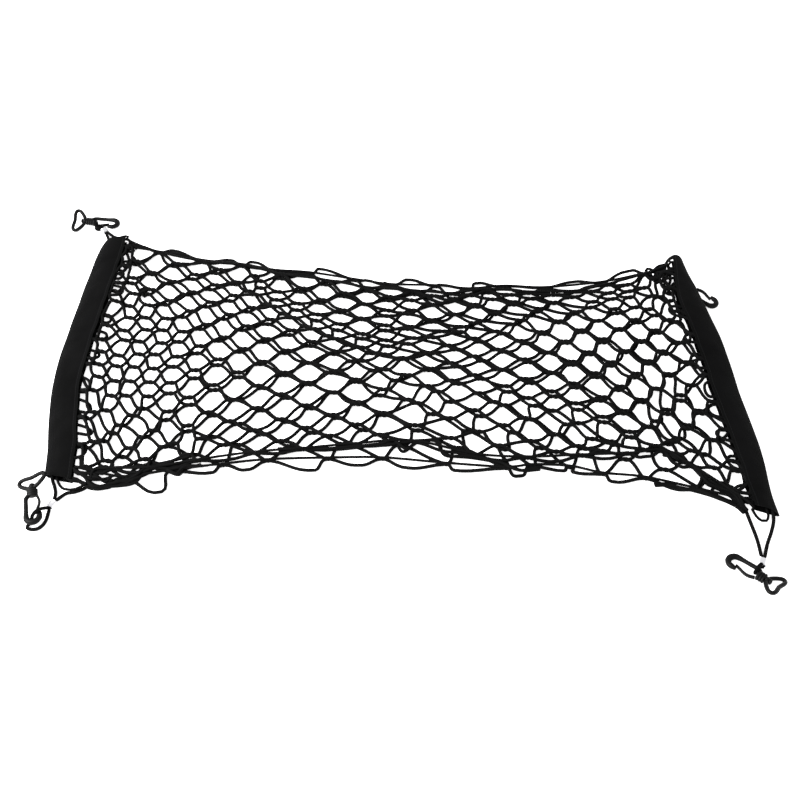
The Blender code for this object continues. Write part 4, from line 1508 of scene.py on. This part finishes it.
@dataclass
class HemCords:
    """The elastic cords along the long edges of both layers."""

    lower: NetLayer
    upper: NetLayer
    diameter: float = 3.4
    inset: float = 4.0
    level: float = 5.1

    def lower_point(self, edge: str, share: float) -> np.ndarray:
        """Returns where a lower hem cord passes at a share of the length."""
        far = edge == "far"
        x, y = self.lower.plan_point(share, 1.0 if far else 0.0)
        y += -self.inset if far else self.inset
        return np.array((x, y, self.level + mesh_lift(x, y)))

    def build(self, edge: str, layer: Layer) -> tuple[bpy.types.Object, float]:
        """Builds one hem cord.

        Args:
            edge: near or far.
            layer: the layer that it runs along.

        Returns:
            The piece and its length in millimetres.
        """
        source = self.lower if layer is Layer.LOWER else self.upper
        middle = source.hem_path(edge == "far")
        if layer is Layer.LOWER:
            first, last = (self.lower_point(edge, share) for share in HEM_ENDS[edge])
            controls = np.vstack((first, middle, last))
        else:
            left = np.array(UPPER_HEM_ENDS[edge + "_left"])
            right = np.array(UPPER_HEM_ENDS[edge + "_right"])
            controls = np.vstack((left, middle, right))
        path = spaced_path(controls, 5.0, 12)
        tubes = TubeMesh(8)
        tubes.add(path, self.diameter / 2)
        return tubes.build(f"hem_cord_{edge}_{layer.value}"), path_length(path)


# ------------------------------------------------------------------------------------------ bands


@dataclass
class Band:
    """A strip of cloth folded over the ends of both layers; its mouth faces the mesh, its near end is aslant."""

    name: str
    node: str
    rows: tuple[BandRow, ...]
    outward: int
    near_cut: float = 0.0
    cut_power: float = 1.0
    cut_run: float = 70.0
    cloth: float = 1.0
    station: float = 4.0
    crease: float = 0.7
    waver: float = 0.9
    seed: int = 5

    def section(self, width: float) -> list[tuple[float, float]]:
        """Returns the folded strip's section: distance from the mouth and height of the cloth's middle."""
        return [(share * width, height) for share, height in BAND_SECTION]

    def creased(self, across: float, y: float, height: float) -> float:
        """Returns how far creases move the cloth up at a place of its upper face."""
        broad = noise.noise(Vector((across * 0.035, y * 0.016, self.seed * 1.7)))
        slant = noise.noise(Vector((across * 0.11 + y * 0.045, y * 0.05 - across * 0.06, self.seed * 3.1)))
        return self.crease * (1.2 * broad + 0.9 * slant) * ramp(height, 2.0, 8.0)

    def outline_waver(self, share: float, y: float) -> float:
        """Returns how far the strip's outline strays sideways, most at the mouth that the mesh pulls at."""
        mouth = noise.noise(Vector((y * 0.045, 3.3, self.seed * 2.3))) * (1 - share)
        fold = noise.noise(Vector((y * 0.02, 7.1, self.seed * 0.9))) * share * 0.6
        return self.waver * (mouth + fold) * 1.6

    def build(self) -> bpy.types.Object:
        """Returns the band as a cloth surface of real thickness."""
        work = bmesh.new()
        uv = work.loops.layers.uv.new("along")
        ys = np.array([row.y for row in self.rows])
        count = int((ys[-1] - ys[0]) / self.station)
        loops = []
        for index in range(count + 1):
            y = ys[0] + index / count * (ys[-1] - ys[0])
            x = smooth_at(ys, [row.x for row in self.rows], y)
            width = smooth_at(ys, [row.width for row in self.rows], y)
            lift = band_lift(y) if self.outward > 0 else 0.0
            cut = self.near_cut * (1 - ramp(y, ys[0], ys[0] + self.cut_run))
            loop = []
            run = 0.0
            last = None
            for across, height in self.section(width):
                share = across / width
                z = height + lift + self.creased(across, y, height)
                place = x + self.outward * (across - width / 2 + self.outline_waver(share, y))
                if last is not None:
                    run += math.hypot(across - last[0], height - last[1])
                last = (across, height)
                loop.append((work.verts.new(to_part((place, y + cut * (1 - share) ** self.cut_power, z))), run))
            loops.append((y, loop))
        for (y0, one), (y1, two) in zip(loops, loops[1:]):
            for k in range(len(one) - 1):
                face = work.faces.new((one[k][0], one[k + 1][0], two[k + 1][0], two[k][0]))
                corners = ((one[k][1], y0), (one[k + 1][1], y0), (two[k + 1][1], y1), (two[k][1], y1))
                for corner, (run, y) in zip(face.loops, corners):
                    corner[uv].uv = (run * MM, y * MM)
        band = finish_mesh(work, self.name, 60.0)
        cloth = band.modifiers.new("cloth", "SOLIDIFY")
        cloth.thickness = self.cloth * MM
        cloth.offset = 0.0
        return band

    def flat_size(self) -> tuple[float, float]:
        """Returns the strip's width unfolded and its length, in metres."""
        width = float(np.mean([row.width for row in self.rows]))
        section = np.array(self.section(width))
        length = path_length(np.array([(row.x, row.y) for row in self.rows]))
        return path_length(section) * MM, length * MM


# ------------------------------------------------------------------------------------------ hooks


@dataclass
class SnapHook:
    """A moulded snap hook: body with collar and stem, its springy gate, and the D-ring on the stem."""

    row: HookRow
    body_width: float = 15.6
    bar_sides: int = 16
    turned_sides: int = 28
    ring_sides: int = 14
    flatness: float = 0.92
    spine_radius: float = 2.8
    nose_radius: float = 4.0
    nose_x: float = 38.5
    tip_x: float = 33.0
    collar_length: float = 9.5
    collar_oval: tuple[float, float] = (1.2, 0.82)
    stem_radius: float = 1.9
    head_radius: float = 3.3
    ring_radius: float = 2.7
    eye: tuple[float, float] = (-0.4, -4.9)
    bore_radius: float = 2.25
    gate_thickness: float = 2.5
    gate_depth: float = 4.6
    gate_root: float = 1.25
    gate_tip: float = 0.9
    gate_soft: float = 0.35
    gate_line: tuple[tuple[float, float], ...] = ((10.0, 5.6), (17.0, 8.0), (23.0, 7.7), (29.0, 5.5), (35.0, 3.7))

    def __post_init__(self) -> None:
        """Works out the hook's own frame in the net's plan frame."""
        neck, nose = Vector(self.row.neck), Vector(self.row.nose)
        along = (nose - neck).normalized()
        side = Vector((0, 0, 1)).cross(along).normalized()
        turn = Matrix((along, side, along.cross(side))).transposed().to_4x4()
        roll = Matrix.Rotation(math.radians(self.row.roll), 4, "X")
        self.frame = Matrix.Translation(neck) @ turn @ roll

    def at(self, x: float, y: float, z: float = 0.0) -> Vector:
        """Returns a point of the hook's frame in the plan frame, in millimetres."""
        return self.frame @ Vector((x, y, z))

    def place(self, thing: bpy.types.Object, spin: float = 0.0) -> bpy.types.Object:
        """Moves a mesh made in the hook's frame, in millimetres, to where the hook lies.

        Args:
            thing: the object.
            spin: degrees that it is turned about the hook's length first.

        Returns:
            The object.
        """
        shift = Matrix.Translation((PLAN_SHIFT[0], PLAN_SHIFT[1], 0.0))
        turn = Matrix.Rotation(math.radians(spin), 4, "X")
        thing.data.transform(Matrix.Scale(MM, 4) @ shift @ self.frame @ turn)
        return thing

    @staticmethod
    def bar_tube(
        route: Sequence[tuple[float, float, float, float]], sides: int, steps: int, flat: float
    ) -> bpy.types.Object:
        """A bar of changing thickness along a route in the hook's frame.

        Args:
            route: rows of x, y, z and radius.
            sides: sides of the bar.
            steps: smooth steps between two rows.
            flat: how much flatter than wide the bar is.

        Returns:
            The bar as an object in the hook's frame.
        """
        line = smooth_path(np.array(route, dtype=float), steps)
        work = bmesh.new()
        rings = []
        tangents = np.gradient(line[:, :3], axis=0)
        for (x, y, z, radius), tangent in zip(line, tangents):
            ahead = Vector(tangent).normalized()
            side = ahead.cross(Vector((0, 0, 1))).normalized()
            up = side.cross(ahead)
            rings.append(oval(work, Vector((x, y, z)), side * radius, up * radius * flat, sides))
        skin(work, rings)
        cap(work, rings)
        return finish_mesh(work, "bar")

    @staticmethod
    def turned(profile: Sequence[tuple[float, float]], sides: int) -> bpy.types.Object:
        """A solid turned about the hook's length.

        Args:
            profile: rows of x and radius that start and end on the axis.
            sides: sides of the solid.

        Returns:
            The solid as an object in the hook's frame.
        """
        work = bmesh.new()
        rings: list[list[bmesh.types.BMVert]] = []
        for x, radius in profile:
            if radius == 0.0:
                rings.append([work.verts.new((x, 0.0, 0.0))])
                continue
            wide, high = Vector((0.0, radius, 0.0)), Vector((0.0, 0.0, radius))
            rings.append(oval(work, Vector((x, 0.0, 0.0)), wide, high, sides))
        skin(work, rings)
        return finish_mesh(work, "turned")

    @staticmethod
    def joined(body: bpy.types.Object, extra: bpy.types.Object, operation: str) -> bpy.types.Object:
        """Returns the body after a Boolean with the extra solid, which is removed."""
        step = body.modifiers.new("join", "BOOLEAN")
        step.operation = operation
        step.solver = "EXACT"
        step.object = extra
        bpy.context.view_layer.update()
        evaluated = body.evaluated_get(bpy.context.evaluated_depsgraph_get())
        mesh = bpy.data.meshes.new_from_object(evaluated)
        body.modifiers.clear()
        body.data = mesh
        bpy.data.objects.remove(extra, do_unlink=True)
        return body

    def body_route(self) -> list[tuple[float, float, float, float]]:
        """Returns the bar from the collar along the spine, round the nose, to its tip, with its radii."""
        half = self.body_width / 2
        route = [(5.0, -2.6, 0.0, self.spine_radius), (9.5, -5.6, 0.0, self.spine_radius)]
        route += [(13.0, -half, 0.0, self.spine_radius), (22.0, -half, 0.0, self.spine_radius)]
        route += [(31.0, -half, 0.0, self.spine_radius)]
        for step in range(9):
            turn = math.pi * (step / 8 - 0.5)
            swell = self.spine_radius + (self.nose_radius - self.spine_radius) * math.sin(
                math.pi * min(step + 2, 8) / 10
            )
            route.append((self.nose_x + half * math.cos(turn), half * math.sin(turn), 0.0, swell))
        route.append((self.tip_x + 1.5, half + 0.2, 0.0, self.spine_radius * 0.95))
        route.append((self.tip_x, half + 0.2, 0.0, self.spine_radius * 0.7))
        return route

    def build_body(self) -> bpy.types.Object:
        """Returns the hook's body: bar, ribbed collar and stem in one moulding."""
        bar = self.bar_tube(self.body_route(), self.bar_sides, 3, self.flatness)
        ribs = [(-8.2, 0.0), (-8.2, 1.9), (-7.9, 2.7), (-7.3, self.head_radius), (-6.1, self.head_radius)]
        ribs += [(-5.5, 2.9), (-5.4, self.stem_radius), (-0.2, self.stem_radius), (0.0, 2.3)]
        for step in range(3):
            start = step * self.collar_length / 3
            ribs += [(start, 5.0), (start + 0.35, 5.5), (start + 0.9, 5.75), (start + 2.0, 5.75), (start + 2.6, 5.4)]
        ribs += [(self.collar_length, 5.2), (self.collar_length + 0.3, 4.8), (self.collar_length + 0.3, 0.0)]
        collar = self.turned(ribs, self.turned_sides)
        for vert in collar.data.vertices:
            if math.hypot(vert.co.y, vert.co.z) > self.head_radius + 0.5:
                vert.co.y *= self.collar_oval[0]
                vert.co.z *= self.collar_oval[1]
        body = self.joined(bar, collar, "UNION")
        return self.finished(body, f"snap_hook_{self.row.corner}")

    def build_gate(self) -> bpy.types.Object:
        """Returns the thin gate, from its root at the collar to the inside of the nose."""
        line = smooth_path(np.array(self.gate_line), 5)
        tangents = np.gradient(line, axis=0)
        normals = np.column_stack((-tangents[:, 1], tangents[:, 0]))
        normals /= np.linalg.norm(normals, axis=1)[:, None]
        flat = 1 - self.gate_soft
        section = ((1, -flat), (1, flat), (flat, 1), (-flat, 1), (-1, flat), (-1, -flat), (-flat, -1), (flat, -1))
        work = bmesh.new()
        rings = []
        for share, point, normal in zip(np.linspace(0.0, 1.0, len(line)), line, normals):
            half_thick = self.gate_thickness / 2 * (self.gate_root + (self.gate_tip - self.gate_root) * share)
            spots = [(point + normal * out * half_thick, up * self.gate_depth / 2) for out, up in section]
            rings.append([work.verts.new((*spot, height)) for spot, height in spots])
        skin(work, rings)
        cap(work, rings)
        gate = finish_mesh(work, "gate")
        return self.finished(gate, f"snap_gate_{self.row.corner}")

    def build_ring(self) -> bpy.types.Object:
        """Returns the wide D-ring with the eye that turns on the stem."""
        outline = [*RING_OUTLINE, *((x, -y) for x, y in reversed(RING_OUTLINE[1:-1]))]
        loop = [*outline[-2:], *outline, *outline[:2]]
        line = smooth_path(np.array(loop, dtype=float), 3)[6:-6]
        work = bmesh.new()
        rings = []
        high = Vector((0.0, 0.0, self.ring_radius * self.flatness))
        for before, place, after in zip(np.roll(line, 1, axis=0), line, np.roll(line, -1, axis=0)):
            side = Vector((*(after - before), 0.0)).normalized().cross(Vector((0, 0, 1)))
            rings.append(oval(work, Vector((*place, 0.0)), side * self.ring_radius, high, self.ring_sides))
        skin(work, rings, closed=True)
        ring_bar = finish_mesh(work, "ring")
        eye_front, eye_back = self.eye
        rounded = ((0.0, 3.4), (0.3, 4.0), (0.9, 4.3))
        profile = [(eye_back + depth, radius) for depth, radius in rounded]
        profile += [(eye_front - depth, radius) for depth, radius in reversed(rounded)]
        eye = self.turned([(eye_back, 0), *profile, (eye_front, 0)], self.turned_sides)
        bore = self.turned([(-9, 0), (-9, self.bore_radius), (3, self.bore_radius), (3, 0)], 24)
        ring_bar = self.joined(ring_bar, eye, "UNION")
        ring_bar = self.joined(ring_bar, bore, "DIFFERENCE")
        return self.finished(ring_bar, f"swivel_ring_{self.row.corner}", self.row.ring_turn)

    def finished(self, thing: bpy.types.Object, name: str, spin: float = 0.0) -> bpy.types.Object:
        """Places a piece, gives it its name, and keeps only its sharp edges sharp.

        Args:
            thing: the piece in the hook's frame.
            name: its name.
            spin: degrees that it is turned about the hook's length.

        Returns:
            The piece.
        """
        self.place(thing, spin)
        thing.name = name
        thing.data.name = name
        work = bmesh.new()
        work.from_mesh(thing.data)
        for face in work.faces:
            face.smooth = True
        for edge in work.edges:
            edge.smooth = edge.calc_face_angle(0.0) < math.radians(42.0)
        work.to_mesh(thing.data)
        work.free()
        return thing


# ------------------------------------------------------------------------------------------ corner cords


@dataclass
class CornerCord:
    """The cord from the net's corner through a hook and back into the band, and its pressed sleeve."""

    row: CornerRow
    hook: SnapHook
    hem_end: np.ndarray
    hem_inner: np.ndarray
    diameter: float = 4.4
    squeezed: float = 0.72
    squeeze_run: tuple[float, float] = (6.0, 10.0)
    gap: float = 0.3
    bar_gap: float = 0.45
    floor_gap: float = 0.1
    gate_slack: float = 1.9
    sleeve_wall: float = 0.8
    sleeve_sides: int = 28
    sleeve_gap: float = 0.1
    dent_width: float = 1.1
    sleeve_form: tuple[tuple[float, float, float], ...] = (
        (-5.0, 0.0, 1.08), (-4.6, 0.0, 1.0), (-3.2, 0.0, 1.0), (-1.9, 0.12, 0.97), (0.0, 0.16, 0.96),
        (1.9, 0.12, 0.97), (3.2, 0.0, 1.0), (4.6, 0.0, 1.0), (5.0, 0.0, 1.08),
    )
    gate_hold: tuple[float, float] = (15.0, 7.1)
    spine_hold: float = 13.5

    def round_bar(self, bar: tuple[float, float], half_wide: float, half_high: float) -> list[Vector]:
        """A loop's points from above a bar of the hook, down through the bite and back beneath the bar.

        Args:
            bar: the bar's middle in the hook's frame.
            half_wide: half the bar's width.
            half_high: half its height.

        Returns:
            The points in the plan frame.
        """
        centre = self.hook.at(*bar)
        inner = self.hook.at(bar[0], 0.0) - centre
        inner.z = 0.0
        inner.normalize()
        wide = half_wide + self.bar_gap + self.diameter / 2
        high = half_high + self.bar_gap + self.diameter / 2
        low = max(self.diameter / 2 + self.floor_gap, centre.z - high)
        start = (centre - inner * (wide + 1.0)).lerp(Vector(self.row.sleeve_out), 0.35)
        return [
            Vector((*start.xy, max(start.z + 1.2, low + self.diameter + 1.2))),
            Vector((*(centre - inner * 0.5 * wide).xy, centre.z + high)),
            Vector((*(centre + inner * 0.45 * wide).xy, centre.z + high)),
            Vector((*(centre + inner * (wide + 0.4)).xy, centre.z + 0.3)),
            Vector((*(centre + inner * 0.6 * wide).xy, low)),
            Vector((*(centre - inner * 0.5 * wide).xy, low)),
            Vector((*start.xy, low)),
        ]

    def round_nose(self) -> list[Vector]:
        """Returns a wide loop's points: round the end of the nose, beneath it, up through the bite."""
        local = (
            (34.0, 16.5, -6.8), (44.0, 13.5, -6.5), (51.0, 8.5, -6.4), (53.8, 2.0, -6.4), (52.8, -4.0, -6.4),
            (49.8, -8.4, -6.5), (46.5, -7.7, -6.6), (43.3, -4.6, -6.6), (40.0, -2.2, -4.0), (38.6, -1.0, 0.2),
            (37.2, 2.0, 3.9), (34.4, 7.0, 5.6), (29.5, 13.5, 0.0),
        )
        return [self.hook.at(*point) for point in local]

    def sleeve_runs(self) -> tuple[list[Vector], list[Vector]]:
        """Returns both runs of the cord through its sleeve, first the one on the hem's side."""
        start, end = Vector(self.row.sleeve_in), Vector(self.row.sleeve_out)
        along = (end - start).normalized()
        side = along.cross(Vector((0, 0, 1))).normalized() * ((self.diameter * self.squeezed + self.gap) / 2)
        if (Vector(self.row.from_hem[-1]) - start).dot(side) < 0:
            side.negate()
        line = (start - along * 2.0, start, end, end + along * 2.0)
        return [point + side for point in line], [point - side for point in line]

    def path(self) -> np.ndarray:
        """Returns the cord's whole route in the plan frame, in millimetres."""
        first, second = self.sleeve_runs()
        if self.row.goes_round is Bar.NOSE:
            loop = self.round_nose()
        elif self.row.goes_round is Bar.GATE:
            half_wide = self.hook.gate_thickness / 2 + self.gate_slack
            loop = self.round_bar(self.gate_hold, half_wide, self.hook.gate_depth / 2)
        else:
            radius = self.hook.spine_radius
            loop = self.round_bar((self.spine_hold, -self.hook.body_width / 2), radius, radius)
        away = self.hem_end - self.hem_inner
        away /= np.linalg.norm(away)
        route = [self.hem_end + away * reach for reach in (0.4, 2.2, 4.0)]
        route += [*self.row.from_hem, *first, *loop, *reversed(second), *self.row.to_band]
        line = spaced_path(route, 2.6, 8)
        line[:, 2] = np.maximum(line[:, 2], self.diameter / 2 + self.floor_gap)
        return line

    def build(self) -> tuple[bpy.types.Object, np.ndarray]:
        """Returns the cord's piece and its route in the plan frame."""
        line = self.path()
        middle = (np.array(self.row.sleeve_in) + self.row.sleeve_out) / 2
        away = np.linalg.norm(line - middle, axis=1)
        shares = [self.squeezed + (1 - self.squeezed) * ramp(reach, *self.squeeze_run) for reach in away]
        tubes = TubeMesh(12)
        tubes.add(line, self.diameter / 2 * np.array(shares))
        return tubes.build(f"loop_cord_{self.row.corner}"), line

    def build_sleeve(self) -> bpy.types.Object:
        """Returns the pressed metal sleeve round both runs of the cord."""
        start, end = Vector(self.row.sleeve_in), Vector(self.row.sleeve_out)
        along = (end - start).normalized()
        side = Vector((0, 0, 1)).cross(along).normalized()
        middle = (start + end) / 2
        reach = self.diameter * self.squeezed / 2 + self.gap + self.sleeve_gap + self.sleeve_wall / 2
        half = (self.diameter * self.squeezed + self.gap) / 2
        work = bmesh.new()
        rings = []
        for x, press, flare in self.sleeve_form:
            ring = []
            for j in range(self.sleeve_sides):
                turn = 2 * math.pi * j / self.sleeve_sides
                wide = half * np.sign(math.cos(turn)) * min(1.0, abs(math.cos(turn)) * 3)
                y = (wide + reach * math.cos(turn)) * flare
                z = reach * math.sin(turn) * (1 - press * math.exp(-((y / self.dent_width) ** 2))) * flare
                spot = middle + along * x + side * y + Vector((0, 0, z))
                ring.append(work.verts.new(to_part(spot)))
            rings.append(ring)
        skin(work, rings)
        sleeve = finish_mesh(work, f"sleeve_{self.row.corner}")
        wall = sleeve.modifiers.new("wall", "SOLIDIFY")
        wall.thickness = self.sleeve_wall * 0.8 * MM
        wall.offset = 0.0
        return sleeve


# ------------------------------------------------------------------------------------------ stage


@dataclass(frozen=True)
class Stage:
    """The pale floor, the soft lights and the camera at the photograph's angle."""

    camera_place: tuple[float, float, float] = (0.0956, -1.0010, 1.0975)
    pitch: float = 41.5
    turn: float = 4.0
    lens: float = 50.0
    sensor: float = 36.0
    floor_half: float = 4.0
    floor_drop: float = 0.0002
    floor_grey: float = 0.9
    floor_glow: float = 0.8
    world_strength: float = 0.85
    key_power: float = 120.0
    key_size: tuple[float, float] = (1.6, 1.2)
    key_place: tuple[float, float, float] = (-1.7, -0.6, 1.5)
    key_target: tuple[float, float, float] = (-0.1, 0.0, 0.0)

    def build_camera(self) -> None:
        """Adds the camera."""
        data = bpy.data.cameras.new("view_camera")
        data.lens = self.lens
        data.sensor_width = self.sensor
        data.sensor_fit = "HORIZONTAL"
        camera = in_scene("view_camera", data)
        camera.location = self.camera_place
        camera.rotation_euler = (math.radians(self.pitch), 0.0, math.radians(self.turn))
        bpy.context.scene.camera = camera

    def build_floor(self) -> None:
        """Adds the floor, a plain pale sheet just under the net."""
        mesh = bpy.data.meshes.new("floor")
        half = self.floor_half
        mesh.from_pydata([(-half, -half, 0), (half, -half, 0), (half, half, 0), (-half, half, 0)], [], [(0, 1, 2, 3)])
        floor = in_scene("floor", mesh)
        floor.location.z = -self.floor_drop
        material = bpy.data.materials.new("white_ground")
        material.use_nodes = True
        shader = material.node_tree.nodes["Principled BSDF"]
        shader.inputs["Base Color"].default_value = (self.floor_grey, self.floor_grey, self.floor_grey, 1.0)
        shader.inputs["Roughness"].default_value = 0.9
        shader.inputs["Specular IOR Level"].default_value = 0.1
        shader.inputs["Emission Color"].default_value = (1.0, 1.0, 1.0, 1.0)
        shader.inputs["Emission Strength"].default_value = self.floor_glow
        mesh.materials.append(material)
        floor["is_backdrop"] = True

    def build_lights(self) -> None:
        """Adds the white surroundings and a large soft key light from the near left."""
        world = bpy.data.worlds.new("studio")
        world.use_nodes = True
        ground = world.node_tree.nodes["Background"]
        ground.inputs["Color"].default_value = (1.0, 1.0, 1.0, 1.0)
        ground.inputs["Strength"].default_value = self.world_strength
        bpy.context.scene.world = world
        data = bpy.data.lights.new("key", "AREA")
        data.shape = "RECTANGLE"
        data.size, data.size_y = self.key_size
        data.energy = self.key_power
        key = in_scene("key", data)
        key.location = self.key_place
        direction = Vector(self.key_target) - key.location
        key.rotation_euler = direction.to_track_quat("-Z", "Y").to_euler()

    def build(self) -> None:
        """Builds the whole stage and the plain view transform."""
        self.build_camera()
        self.build_floor()
        self.build_lights()
        bpy.context.scene.view_settings.view_transform = "Standard"
        bpy.context.scene.view_settings.look = "None"


# ------------------------------------------------------------------------------------------ assembly


class CargoNet:
    """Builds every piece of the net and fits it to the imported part."""

    def __init__(self) -> None:
        """Loads the frame and prepares the finishes and both layers."""
        self.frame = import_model()
        self.cad_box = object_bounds()
        self.finishes = Finishes()
        self.lower = NetLayer(Layer.LOWER)
        self.upper = NetLayer(Layer.UPPER, strand_z=6.2, looseness=0.9, joint_z=7.4, hem_z=9.6, seed=23)
        self.hems = HemCords(self.lower, self.upper)
        self.hooks = {row.corner: SnapHook(row) for row in HOOKS}

    def fit(self, thing: bpy.types.Object, slot: Slot, node: str, body: str = ROOT_BODY) -> bpy.types.Object:
        """Dresses a piece and lets it stand for a node.

        Args:
            thing: the piece.
            slot: its finish.
            node: the node that it replaces.
            body: the body that it rides on.

        Returns:
            The piece.
        """
        self.finishes.dress(thing, slot)
        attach(thing, body)
        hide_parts(node)
        LOG.info("%s stands for %s", thing.name, node)
        return thing

    def build_corner_cords(self) -> None:
        """Builds the corner cords and their sleeves."""
        for row in CORNERS:
            edge = row.corner.split("_")[0]
            left = row.corner.endswith("left")
            share = HEM_ENDS[edge][0 if left else 1]
            inner = self.hems.lower_point(edge, share + (HEM_LEAD if left else -HEM_LEAD))
            cord = CornerCord(row, self.hooks[row.corner], self.hems.lower_point(edge, share), inner)
            thing, line = cord.build()
            self.fit(thing, Slot.ELASTIC, f"corner_cord_{row.corner}")
            sleeve = self.fit(cord.build_sleeve(), Slot.METAL, f"crimp_{row.corner}")
            route = to_part(line)
            tuple(route[0])
            [tuple(point) for point in route]

    def build_net(self) -> None:
        """Builds both layers of mesh and the four hem cords."""
        hems: dict[Layer, list[bpy.types.Object]] = {Layer.LOWER: [], Layer.UPPER: []}
        for layer in Layer:
            for edge in ("near", "far"):
                thing, length = self.hems.build(edge, layer)
                self.fit(thing, Slot.ELASTIC, f"hem_{edge}_{layer.value}")
                hems[layer].append(thing)
                LOG.info("hem %s %s is %.0f mm long", edge, layer.value, length)
        slack = SlackLoops()
        loops = [*slack.along_mouth(BAND_LEFT, -1), *slack.along_mouth(BAND_RIGHT, 1)]
        loops += [*slack.gathered(), *slack.bunched()]
        for net, under, extras, area in (
            (self.lower, "band_left", loops, LOWER_AREA),
            (self.upper, "mesh_lower", [], UPPER_AREA),
        ):
            thing = self.fit(net.build(extras), Slot.ELASTIC, f"net_{net.layer.value}")

    def build_bands(self) -> None:
        """Builds both bands."""
        for band in (
            Band("end_band_left", "band_left", BAND_LEFT, -1, near_cut=-11.5, cut_power=0.4, cut_run=45.0, seed=5),
            Band("end_band_right", "band_right", BAND_RIGHT, 1, near_cut=9.0, seed=8),
        ):
            thing = self.fit(band.build(), Slot.CLOTH, band.node)
            band.flat_size()

    def build_hooks(self) -> None:
        """Builds the hooks, their gates and D-rings."""
        for corner, hook in self.hooks.items():
            self.fit(hook.build_body(), Slot.PLASTIC, f"hook_{corner}")
            self.fit(hook.build_gate(), Slot.PLASTIC, f"gate_{corner}", f"gate_{corner}")
            self.fit(hook.build_ring(), Slot.PLASTIC, f"d_ring_{corner}")

    def write_size(self) -> None:
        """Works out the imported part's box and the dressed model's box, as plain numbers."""
        boxes = [[[float(v) for v in corner] for corner in box] for box in (self.cad_box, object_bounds())]


def main() -> None:
    """Builds the stage and the net."""
    logging.basicConfig(level=logging.INFO, format="%(message)s")
    net = CargoNet()
    Stage().build()
    net.build_corner_cords()
    net.build_net()
    net.build_bands()
    net.build_hooks()
    net.write_size()


if __name__ == "__main__":
    main()
